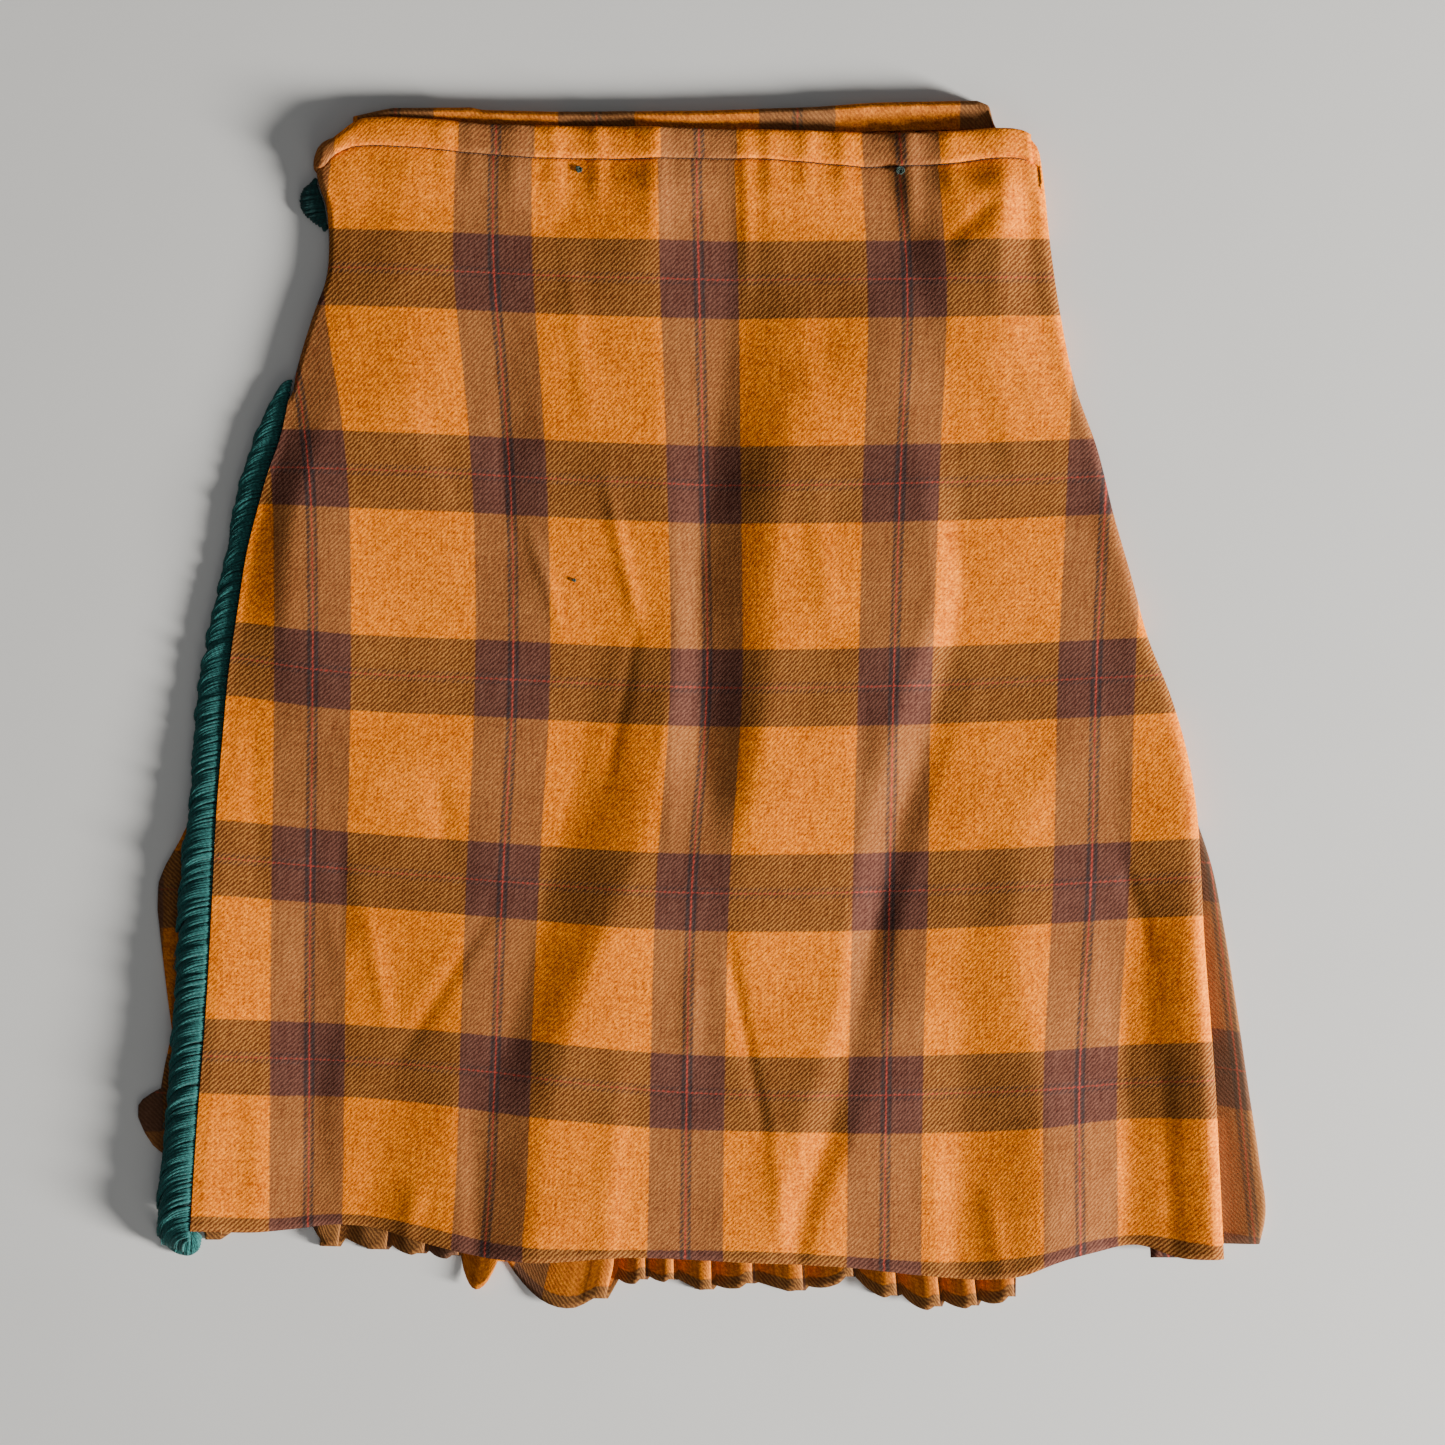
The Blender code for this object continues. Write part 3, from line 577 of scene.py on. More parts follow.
# thin creases: pixels, then mm; a negative height is a trough
creases = chart("x1 y1 x2 y2 left right height bow", [
    (528, 520, 566, 640, 4, 3, 0.9, 0), (606, 470, 644, 640, 4, 3, 1.0, 1),
    (500, 400, 506, 520, 3.5, 3, -1.0, 0), (640, 620, 606, 790, 4, 3.5, -0.7, 0),
    (726, 930, 768, 1140, 3.5, 3, -1.2, 1), (770, 1100, 786, 1262, 4, 4, 0.7, 0),
    (946, 246, 1000, 196, 4, 4, -0.9, 0), (958, 262, 1004, 226, 5, 4, 0.5, 0),
    (448, 100, 446, 190, 4, 4, 0.45, 0), (474, 100, 473, 190, 4, 4, 0.5, 0),
    (517, 100, 515, 215, 6, 6, 0.9, 0), (555, 100, 556, 220, 6, 5, 1.0, 0),
    (597, 100, 599, 215, 4.5, 4.5, 0.9, 0), (657, 100, 660, 250, 9, 5, 1.6, 0),
    (745, 100, 747, 300, 3.5, 4, 0.8, 0), (768, 100, 770, 210, 4, 4, 0.7, 0),
    (806, 100, 806, 200, 4.5, 4.5, 0.8, 0), (842, 100, 843, 205, 4.5, 5, 0.9, 0),
    (903, 100, 912, 236, 6.5, 5, 1.8, 0), (945, 100, 949, 210, 5, 6, 1.0, 0),
    (316, 860, 316, 1262, 9, 9, -1.0, 0), (340, 830, 346, 960, 4, 5, -0.9, 0),
    (366, 900, 392, 1040, 4, 4, 0.7, 0), (498, 900, 400, 1060, 5, 4, -0.8, 0),
    (470, 1070, 478, 1262, 5, 6, -0.8, 0), (420, 1180, 404, 1262, 6, 5, 0.8, 0),
    (622, 1040, 606, 1262, 9, 6, 0.9, 0), (694, 960, 690, 1060, 5, 4, 1.0, 0),
    (668, 700, 672, 860, 5, 5, 0.6, 0), (930, 1130, 936, 1262, 7, 6, 0.8, 0),
    (985, 1180, 1000, 1270, 6, 5, 0.8, 0), (1084, 900, 1098, 1060, 7, 6, 0.7, 0),
    (1120, 856, 1150, 960, 4, 3.5, -1.2, 0), (1160, 1040, 1172, 1262, 5, 5, -0.8, 0),
    (812, 470, 830, 640, 7, 6, 0.6, 0), (866, 690, 858, 780, 6, 5, -0.6, 0),
    (436, 770, 450, 860, 6, 6, -0.7, 0), (250, 700, 262, 900, 7, 6, -0.6, 0),
    (262, 1060, 256, 1240, 7, 7, 0.6, 0), (566, 250, 590, 420, 6, 5, 0.6, 0),
    (420, 380, 470, 520, 7, 6, -0.5, 0), (800, 290, 812, 420, 8, 7, 0.6, 0),
])


def sideLift(y):
    # the first side pleat lies on the front apron's turned edge at the upper left
    return stack["step"] * between(y, *stack["liftFrom"])


def bandShare(down):
    return 1 - between(down, *front["bandEdge"])


def creaseHeight(x, y):
    px, py = toX(x), toY(y)
    total = np.zeros_like(px)
    for x1, y1, x2, y2, left, right, height, bow in zip(*creases.values()):
        run = np.hypot(x2 - x1, y2 - y1)
        t = ((px - x1) * (x2 - x1) + (py - y1) * (y2 - y1)) / run ** 2
        aside = ((px - x1) * (y2 - y1) - (py - y1) * (x2 - x1)) / run * photo["pixel"]
        aside = aside * np.sign(y2 - y1) + bow * unit(4 * t * (1 - t))
        fade = between(t, -0.12, 0.3) * (1 if y2 > front["atHem"] else between(1 - t, -0.12, 0.3))
        total += height * fade * np.exp(-(aside / np.where(aside < 0, left, right)) ** 2)
    return total


def foldHeight(x, y):
    # across the lines that a row passes, smoothly from each ridge to the next valley
    px, py = toX(x), toY(y)
    lines = np.array([follow(t, py) for t in foldLines])
    heights = np.array([follow(t, py, "z") for t in foldLines])
    i = np.clip((lines <= px).sum(0) - 1, 0, len(lines) - 2)
    low, high = pick(lines, i), pick(lines, i + 1)
    t = unit((px - low) / np.maximum(high - low, 1))
    return mix(pick(heights, i), pick(heights, i + 1), mix(t, smooth(t), front["foldRound"]))


def softMost(a, b, width=0.35):
    # the larger of two heights, with a rounded step between them
    return (a + b + np.sqrt((a - b) ** 2 + width ** 2)) / 2


def frontHeight(x, y, down):
    left, right = follow(frontLeft, y), follow(frontRight, y)
    before, wide = front["ledge"]
    ledge = 1 - smooth((x - seamX("under", y) + before) / wide)
    rest = stack["front"] + (sideLift(y) - front["leftDrop"]) * ledge
    turned = stack["layer"] * (1 - between(right - x, *front["turnEdge"]))
    begun = mix(front["bandFolds"], 1.0, between(down, *front["foldFrom"]))
    body = foldHeight(x, y) * front["foldScale"] * begun
    body = body + creaseHeight(x, y) * between(x - left, 0, 25)
    for size, height, seed in front["ripples"]:
        held = between(x - left, 2, 30) * between(right - x, 1, 20)
        body = body + height * ripple(x, y, size, seed) * held
    body = stack["front"] + body
    fall, within = front["leftFall"]
    body = body - fall * (1 - between(x - left, 0, within)) * between(y, *front["leftFallFrom"])
    roll, over = front["roll"]
    edge = unit(1 - (right - x) / over)
    body = softMost(body, rest + turned - front["clear"]) - roll * edge ** 2 * between(x - left, 20, 60)
    at, width, depth = front["seamGroove"]
    at = at * follow(seamDepth, toX(x), rounded=False)
    return body + front["bandRise"] * bandShare(down) - depth * np.exp(-((down - at) / width) ** 2)


def underHeight(down):
    return mix(stack["front"], stack["front"] + front["bandRise"] - stack["layer"], bandShare(down))


def frontAt(s, y, down, out=0.0):
    # a point of the apron, with its place on the tartan's chart
    left, right = follow(frontLeft, y), follow(frontRight, y)
    angle = np.radians(follow(leftTurn, y, rounded=False))
    leftZ = frontHeight(left, y, down)
    leftR = (leftZ - stack["floor"]) / 2
    start = left + leftR + stack["wall"] * smooth(angle)
    rightZ, low = frontHeight(right, y, down), underHeight(down)
    rightR = (rightZ - low) / 2
    end = right - 0.5 - rightR
    startZ = frontHeight(start, y, down)
    x = mix(start, end, unit(s))
    z = frontHeight(x, y, down) + out
    u, v = faceChart(x, y)

    length = np.maximum(follow(leftTurn, y, "length", rounded=False), leftR * (1 - smooth(angle)))
    share, arc = unit(-s), angle * leftR
    most = front["turnShare"]
    run = np.where(arc == 0, length * share,
                   arc * unit(share / most) + (length - arc) * unit((share - most) / (1 - most)))
    a = np.minimum(run / leftR, angle)
    past, reach = run - a * leftR, leftR + out
    x = np.where(s < 0, start - reach * np.sin(a) - past * np.cos(a), x)
    z = np.where(s < 0, leftZ - leftR + reach * np.cos(a) - past * np.sin(a)
                 + (startZ - leftZ) * (1 + np.cos(a)) / 2, z)
    u = u - run

    bend = unit(s - 1) * pi
    x = np.where(s > 1, end + (rightR + out) * np.sin(bend), x)
    z = np.where(s > 1, low + rightR + (rightR + out) * np.cos(bend), z)
    under = unit(s - 2) * front["turnUnder"]
    x = np.where(s > 2, end - under, x)
    z = np.where(s > 2, low - out, z)
    u = u + bend * rightR + under
    return x, y, z, u, v


def topEdge(s):
    return follow(frontTop, unit(s), rounded=False)


def frontPlace(s, r):
    u = unit(s)
    top = mix(topEdge(s), front["turnTop"], unit(s - 1))
    hem = follow(frontHem, u)
    inset = front["topInset"] + front["leftTopFall"] * unit(-s)
    y = mix(top, hem, r) - inset * (1 - smooth(r / 0.05))
    downFrom = np.where(s > 1, follow(frontTop, 0.5), top)
    return frontAt(s, y, downFrom - y)


side, face, fold, under = front["columns"]
frontColumns = steps((-1, side), (0, face), (1, fold), (2, under), (3, 0))
above, along, below = front["rows"]
frontRows = steps((0, above), (0.021, along), (0.033, below), (1, 0))
frontApron = makeCloth("frontApron", frontColumns, frontRows, frontPlace, rightSide)
print("front apron: done")


# Front waistband: a strip of the same cloth over the apron's top edge

frontBand = {
    "depth": 16.0,
    "inner": 6.0,
    "bulge": (0.25, 1.25, 2.1),  # outer leg's distance from the apron: edge, seam, middle
    "end": 0.992,
    "rise": 40,  # its place on the tartan's chart, down from the lower edge
    "pucker": 0.2,
    "shift": 1.6,  # its stripes lie this far to the right of the apron's
}


def bandSection(radius, depth, inner, edge, seam, middle):
    # distance below the top edge, and distance out from the cloth that it is folded over
    leg = []
    drops = [(0.0, 1.0), (0.02, 0.55), (0.05, 0.2)] + [(t, 0) for t in (0.1, 0.2, 0.35, 0.5, 0.65, 0.78)]
    for t, drop in drops:
        swell = 1 - (1 - min(t * 2.2, 1)) ** 2
        leg.append((depth * (1 - t), seam + (middle - seam) * swell - (seam - edge) * drop))
    turn = [(radius + 0.5 - radius * sin(a * pi / 8), radius * cos(a * pi / 8)) for a in range(9)]
    section = np.array(leg + turn + [(radius + 2.5, -radius), (inner, -radius)])
    run = np.concatenate([[0], np.linalg.norm(np.diff(section, axis=0), axis=1).cumsum()])
    return section, run


def frontBandPlace(s, row):
    section, run = bandSection(1.5, frontBand["depth"], frontBand["inner"], *frontBand["bulge"])
    below, out = section[row.astype(int)].T
    share = unit(-s)
    along = mix(front["seamFrom"], front["seamTo"], unit(s))
    below = below * np.where(out > 0, follow(seamDepth, along, rounded=False), 1)
    y = topEdge(s) - front["leftTopFall"] * share - below
    x, y, z, u, _ = frontAt(s, y, np.full_like(y, front["topInset"]), out)
    pucker = frontBand["pucker"] * ripple(x * 3.2, y, 26, 5) * unit(below / 5)
    outer = (out > 1.3) & (s >= 0)
    z = z + np.where(outer, np.maximum(pucker, stack["wall"] - out), 0)
    v = frontBand["rise"] + run[row.astype(int)]
    return x, y, np.maximum(z, stack["floor"]), u - frontBand["shift"], v


bandColumns = steps((-0.5, 14), (0, 150), (frontBand["end"], 0))
frontWaistband = makeCloth("frontWaistband", bandColumns, range(20), frontBandPlace, rightSide)


# Back waistband: seen from its inside, above the front one

backBand = {
    "depth": 16.0,
    "firstStripe": 396,  # middle of its first brown stripe, in pixels
    "stripes": 200,  # pixels from one to the next
    "rise": 34,
    "pucker": 0.3,
    "slant": (155.0, 4.0),  # right of this x its top leans left by this
    "puff": (3.0, 3.0, 9.0),  # its outer leg rises by this near the top edge, from and to
}
backTop = chart("x top", [
    (-188.5, 320), (-184, 321), (-180, 321.9), (-168, 324.5), (-125, 324.8), (-118, 323.4),
    (-80, 322.5), (0, 323), (60, 325), (95, 327.5), (150, 328.5), (156, 326), (163, 315)])


def backBandPlace(x, row):
    low, high = stack["floor"], stack["third"] + 2 * stack["step"]
    half = (high - low) / 2
    section, run = bandSection(half, backBand["depth"], backBand["depth"], half, half, half)
    below, out = section[row.astype(int)].T
    puff, near, far = backBand["puff"]
    puffed = puff * (1 - between(below, near, far)) * unit(out / half)
    edge, lean = backBand["slant"]
    top = follow(backTop, x, rounded=False)
    z = (high + low) / 2 + out + puffed + backBand["pucker"] * ripple(x * 2, below, 20, 2) * unit(out)
    u = (toX(x) - backBand["firstStripe"]) / backBand["stripes"] * sett["mm"]
    slid = x - lean * (1 - below / backBand["depth"]) * between(x, edge, edge + 8)
    return slid, top - below, z, u, backBand["rise"] + run[row.astype(int)]


backColumns = steps((-188.5, 10), (-178, 150), (152, 12), (163, 0))
backWaistband = makeCloth("backWaistband", backColumns, range(20), backBandPlace, shadedWrongSide)
print("waistbands: done")


# Pleated back, from right to left: each pleat's face on the floor, its outer fold, the middle layer
# back to its free fold, and the top layer from there to the next pleat

pleats = {
    "waistFolds": (143.0, -138.0),  # the first and the last free fold at the waist line
    "depthShare": 0.46,  # share of its pitch that a pleat goes back, and the most in mm
    "depthMost": 11.0,
    "flat": 1.2,  # a pleat's face starts this far beyond its free fold
    "topInset": 3.5,
    "bandZone": (18.0, 28.0),  # the top lies on the waistband's inner leg down to here, then comes down
    "arch": 0.25,  # a lobe's top is this round, and sags by this towards the next pleat
    "sag": 0.55,
    "lift": (1.9, 3.4),  # how far the free folds rise near the hem: left and right of liftEdge
    "liftEdge": (-112.0, -95.0),
    "corner": 1.6,  # the hem turns up by this at a fold
    "hiddenDrop": 1.2,  # and the layers under the top one hang lower by this
    "hemRows": 26,  # finer rows over the last part above the hem
}
# free folds from right to left: x at the hem, the hem in pixels at three places of the lobe, the
# stripe and the rise on the tartan's chart, and how far the fold leans out at the hem
pleatFolds = chart("x left middle right stripe rise lean", [
    (261, 1245, 1240, 1235, 80, 14, 0), (239, 1245, 1240, 1235, 80, 14, 0),
    (217, 1246, 1243, 1240, 80, 14, 0), (196, 1250, 1246, 1244, 80, 14, 0),
    (172.5, 1299, 1302, 1297, 80, 14, 2), (150, 1299, 1305, 1306, 80, 14, 0),
    (130, 1290, 1305, 1307, 78, 14, 0), (107, 1276, 1291, 1296, 76, 14, 0),
    (84, 1285, 1286, 1277, 78, 15, 0), (56, 1281, 1286, 1291, 80, 14, 0),
    (28.5, 1284, 1287, 1284, 82, 14, 0), (6, 1278, 1284, 1290, 72, 15, 0),
    (-14.5, 1275, 1279, 1280, 70, 17, 0), (-30, 1277, 1282, 1280, 80, 14, 0),
    (-47, 1262, 1303, 1299, 56.7, 14, 5), (-108, 1258, 1288, 1262, 70, 27, 2),
    (-134, 1248, 1256, 1256, 20, 7, 0), (-153, 1243, 1251, 1254, 76, 7, 0),
    (-174, 1236, 1244, 1250, 78, 7, 0), (-201, 1204, 1233, 1247, 34, 7, 0),
    (-224, 1222, 1223, 1220, 30, 20, 0),
])
pleatCount = len(pleatFolds["x"])
pleatPoints = 24  # points of the section in each pleat, in this order:
flatEnd, foldEnd = 3, 7  # the face on the floor, and the outer fold
freeStart, freeEnd = 9, 13  # the middle layer, then the free fold, then the top layer


def pleatX(k, y):
    k = np.asarray(k)
    waist = mix(*pleats["waistFolds"], k / (pleatCount - 1))
    return mix(waist, pleatFolds["x"][k], (waistLine - y) / (waistLine - hemLine))


def pleatPlace(column, row):
    column = column.astype(int)
    k = np.clip((column - 1) // pleatPoints, 0, pleatCount - 1)
    part = (column - 1) % pleatPoints
    nextK = np.minimum(k + 1, pleatCount - 1)
    # the hem's own line across each lobe: the free fold is its right, the next fold its left
    topStart = freeEnd + 1
    across = np.where(part < topStart, 1.0, 1 - (part - topStart) / (pleatPoints - topStart))
    hem = fromY(pleatFolds["left"][k] * (2 * across - 1) * (across - 1)
                + pleatFolds["middle"][k] * 4 * across * (1 - across)
                + pleatFolds["right"][k] * across * (2 * across - 1))
    hem = hem + pleats["corner"] * between(across, 0.82, 1.0)
    hem = hem - pleats["hiddenDrop"] * unit((freeEnd - part) / freeEnd)
    below = np.interp(row, [0, 0.03, 0.05], [pleats["topInset"], *pleats["bandZone"]])
    topLine = follow(backTop, pleatX(k, waistLine), rounded=False)
    y = mix(topLine - below, hem, unit((row - 0.05) / 0.95))
    edge = pleatX(k, y) - pleatFolds["lean"][k] * between(-y, 300, 327)
    pitch = np.where(k < pleatCount - 1, edge - pleatX(nextK, y), pleatX(k - 1, y) - edge)
    depth = np.minimum(pitch * pleats["depthShare"], pleats["depthMost"])
    outer = edge - depth
    free = between(-y, 284, 301) * mix(*pleats["lift"], between(edge, *pleats["liftEdge"]))
    radius = stack["layer"] / 2
    reach = radius + 0.5
    floorZ, second, third = stack["floor"], stack["second"], stack["third"]

    x = mix(edge + pleats["flat"], outer + reach, unit(part / flatEnd))
    z = np.full_like(y, floorZ)
    a = unit((part - flatEnd) / 4) * pi
    turned = (part >= flatEnd) & (part <= foldEnd)
    x = np.where(turned, outer + reach - radius * np.sin(a), x)
    z = np.where(turned, floorZ + radius - radius * np.cos(a), z)
    middle = (part > foldEnd) & (part < freeStart)
    x = np.where(middle, mix(outer + reach, edge - reach, 0.5), x)
    z = np.where(middle, second + free * 0.7, z)
    a = unit((part - freeStart) / 4) * pi
    turned = (part >= freeStart) & (part <= freeEnd)
    lifted = radius + free * 0.15
    x = np.where(turned, edge - 0.5 - lifted + lifted * np.sin(a), x)
    z = np.where(turned, second + lifted - lifted * np.cos(a) + free * 0.7, z)
    # the top layer stays up over the fold under it, then comes down to the next pleat
    t = (part - freeEnd) / (pleatPoints - freeEnd)
    last = np.where(k < pleatCount - 1, pleatX(nextK, y) + pleats["flat"], edge - pitch + 3)
    topRight = edge - 0.5 - lifted
    run = mix(topRight, last, unit(t))
    held = unit((topRight - run) / np.maximum(topRight - (outer - 0.5), 1))
    fall = smooth((outer - 0.4 - run) / np.maximum(outer - 0.4 - last, 0.5))
    high = third + free * (1 + pleats["arch"] * np.sin(held * pi) - pleats["sag"] * held)
    on = part > freeEnd
    x = np.where(on, run, x)
    z = np.where(on, mix(high, floorZ, fall), z)
    lead = column == 0
    seam = seamX("right", y) - 0.15
    tail = column >= pleatCount * pleatPoints + 1
    end = seamX("left", y)
    x = np.where(lead, seam, np.where(tail, end + np.where(column % pleatPoints == 1, 3, 0.15), x))
    z = np.where(lead | tail, floorZ, z)
    z = z + stack["step"] * (1 - between(row, 0.03, 0.05))
    # the chart: each pleat takes a whole run of cloth, and its free fold lies at the same stripe
    u = pleatFolds["stripe"][k] - np.where(on, edge - x, (part - freeEnd) * 1.5)
    return x, y, z, u, (y - hem) + pleatFolds["rise"][k]


pleatRows = np.concatenate([[0, 0.015, 0.03, 0.04, 0.05], np.linspace(0.05, 0.88, 14)[1:],
                            np.linspace(0.88, 1, pleats["hemRows"])[1:]])
pleatColumns = range(pleatCount * pleatPoints + 3)
pleatedBack = makeCloth("pleatedBack", pleatColumns, pleatRows, pleatPlace, shadedWrongSide)
print("pleats: done")


# Side folds: cloth from a seam on the floor out to a fold and back above

sides = {
    "backReach": 60.0,  # the deep one's upper layer ends this far in from the front's right edge
    "lowSteps": 4,  # columns out to the fold, round it, and back above
    "arcSteps": 8,
    "backSteps": 24,
    "deepRows": 110,
    "firstRows": 200,
    "deepChart": (862, 1210, 0.09),  # a check's middle, where it lies level, and its slant, in pixels
    "firstChart": (124, 888, 203),  # a stripe, a check's middle and the checks' spacing, in pixels
    "hemRise": 9.0,  # the first one's hem at its seam
    "sink": (2.4, 22.0),  # the deep one's upper layer drops by this, over this
}
deepFold = chart("y x", [
    (296, 175), (246, 182), (170, 196), (103, 215), (38, 234), (-27, 257), (-58, 268), (-88, 278),
    (-118, 284), (-168, 292), (-209, 298), (-249, 304), (-280, 307), (-293, 304)])
firstFold = chart("y x", [
    (314, -187), (300, -191), (245, -195), (200, -204), (165, -214), (110, -236), (50, -245), (-10, -252),
    (-45, -258), (-60, -277), (-75, -284.5), (-88, -292), (-97, -295.5), (-111, -296), (-127, -294.3),
    (-155, -291), (-178, -288), (-196, -292), (-209.3, -294.3), (-213.6, -303), (-218, -306.4),
    (-224.5, -306.6), (-232.7, -303), (-240.3, -298), (-246, -290), (-264, -273), (-291, -270)])


def sideSection(column, seam, fold, back, low, high):
    # out from the seam to the fold, round it, and back above; with the run round the fold
    way = np.sign(fold - seam)
    radius = (high - low) / 2
    centre = fold - way * (radius + 0.5)
    bend = unit((column - sides["lowSteps"]) / sides["arcSteps"]) * pi
    far = column - sides["lowSteps"] - sides["arcSteps"]
    x = np.where(column <= sides["lowSteps"], mix(seam, centre, unit(column / sides["lowSteps"])),
                 centre + way * radius * np.sin(bend))
    x = np.where(far > 0, mix(centre, back, unit(far / sides["backSteps"])), x)
    return x, low + radius - radius * np.cos(bend), bend * radius


sideColumns = range(sides["lowSteps"] + sides["arcSteps"] + sides["backSteps"] + 1)


def deepPlace(column, y):
    seam, fold = seamX("right", y) + 0.15, follow(deepFold, y)
    inner = follow(frontRight, y) - sides["backReach"]
    x, z, arc = sideSection(column, seam, fold, inner, stack["floor"], stack["under"])
    drop, over = sides["sink"]
    sunk = drop * smooth((fold - 3 - x) / over) * between(x, seam - 1, seam + 9)
    z = z - np.where(column > sides["lowSteps"] + sides["arcSteps"], sunk, 0)
    redLine = np.interp(toY(y), [700, 860, 1064, 1210, 1250], [1186, 1203, 1229, 1244, 1248])
    u = (toX(x) - redLine) * photo["pixel"]
    check, level, slant = sides["deepChart"]
    v = -(toY(y) - check) / sett["down"] * sett["mm"] + slant * (toX(x) - level)
    return x, y, z, u - arc * 0.4, v


def firstPlace(column, y):
    lift = sideLift(y)
    seam, fold = seamX("left", y) - 0.15, follow(firstFold, y, rounded=False)
    inner = seamX("under", y) - 0.15
    low, high = stack["floor"] + lift, stack["second"] + lift
    x, z, _ = sideSection(column, seam, fold, inner, low, high)
    stripe, check, spacing = sides["firstChart"]
    u = (toX(x) - stripe) * photo["pixel"]
    down = np.interp(toY(y), [100, 1150, 1225, 1245], [100, 1150, 1258, 1280])
    raised = sides["hemRise"] * between(x, -258, -250) * between(-y, 262, 291)
    return x, y + raised, z, u, -(down - check) / spacing * sett["mm"]


deepRows = np.linspace(296, -293, sides["deepRows"])
deepSide = makeCloth("deepSidePleat", sideColumns, deepRows, deepPlace, shadedWrongSide)
firstRows = np.linspace(314, -291, sides["firstRows"])
firstSide = makeCloth("firstSidePleat", sideColumns, firstRows, firstPlace, shadedWrongSide)


# Under apron: hidden under the front one

underApron = {
    "top": 293.0,
    "hem": -278.0,
    "rightInset": 70.0,
    "turn": 16,  # width of the slope from the pleated back up to its own layer
    "stripe": 40,
}


def underPlace(s, y):
    seam = seamX("under", y) + 0.15
    free = follow(frontRight, y) - underApron["rightInset"]
    top = seam + underApron["turn"]
    x = np.where(s <= 1, mix(seam, top, s), mix(top, free, s - 1))
    low = stack["second"] + sideLift(y)
    z = mix(low, stack["under"], smooth((x - seam) / underApron["turn"]))
    u, v = faceChart(x, y)
    return x, y, z, u + underApron["stripe"], v


underRows = np.linspace(underApron["top"], underApron["hem"], 80)
underPiece = makeCloth("underApron", steps((0, 10), (1, 70), (2, 0)), underRows, underPlace, shadedWrongSide)
print("side pleats and under apron: done")


# Fringe: teal wool yarns sewn along the free edge, curving down and out

fringe = {
    "ends": (171.0, -289.0),  # y of its upper and lower end
    "lock": 6.6,  # mm of edge that one lock takes
    "yarns": 9,  # in each lock
    "under": 2.1,  # mm from one yarn of the lower layer to the next
    "least": 3.0,  # shortest reach of a yarn
    "strays": 60,  # loose hairs
    "sunk": 1.1,  # the upper yarns lie lower and flatter than the lower ones
    "flatter": 0.5,
    "shaded": (-60.0, 60.0),  # from y, to y
    "lowest": -299.0,  # no yarn hangs below this, less a share of its reach
    "hang": 0.36,
    "bulb": 44,  # yarns of the rounded lower end
    "width": (0.8, 1.15),  # half width of a yarn
    "seed": 7,
}
yarnPoints = 11
fringeOut = chart("y x", [
    (382, 293), (398, 277), (426, 259), (459, 247), (494, 236), (538, 229), (582, 219.5), (626, 208.5),
    (667, 202), (708, 196), (750, 193), (810, 189), (845, 183), (884, 180), (951, 177), (990, 175),
    (1044, 172), (1076, 169), (1118, 166), (1154, 164), (1187, 159), (1205, 158), (1232, 160),
    (1251, 170), (1258, 184)])
fringeDrop = chart("y drop", [  # how far a yarn's end hangs below its root
    (174, 13), (139, 13), (103, 11), (53, 11), (-55, 11), (-165, 12), (-230, 15), (-260, 19), (-292, 18)])
fringeEnds = chart("t x y", [  # where the lowest yarns end, round the corner, in pixels
    (0, 161, 1226), (0.2, 163, 1239), (0.42, 171, 1249), (0.64, 182, 1254), (0.82, 192, 1253),
    (0.93, 198, 1247), (1, 200, 1238)])


def yarnMaterial(name, light, dark):
    material, shader, n = newMaterial(name, {
        "Sheen Weight": 0.12,
        "Sheen Roughness": 0.4,
        "Specular IOR Level": 0.25,
    })
    along = n.add("ShaderNodeUVMap", uv_map="yarn").outputs["UV"]
    u, v = n.split(along)
    turn = n.plus(n.times(v, 2600.0), n.times(u, 1.6))
    strands = n.noise(n.scaled(along, (1.6, 160, 1)), 3.0, 3, 0.65)
    twist = n.line(n.maths("SINE", turn), -1.0, 1.0, 0.0, 0.25)
    # the blend to the dark colour along the streaks and the twist is partly the yarn's uneven tone and
    # partly painted shade between its strands and plies
    body = n.plus(n.times(n.line(strands, 0.3, 0.72, 0.0, 1.0), 0.75), twist)
    n.wire(n.blend(body, dark, light), shader.inputs["Base Color"])
    n.wire(n.line(strands, 0.2, 0.8, 0.75, 0.95), shader.inputs["Roughness"])
    addBump(n, shader, body, 0.7, 0.0004)
    return material


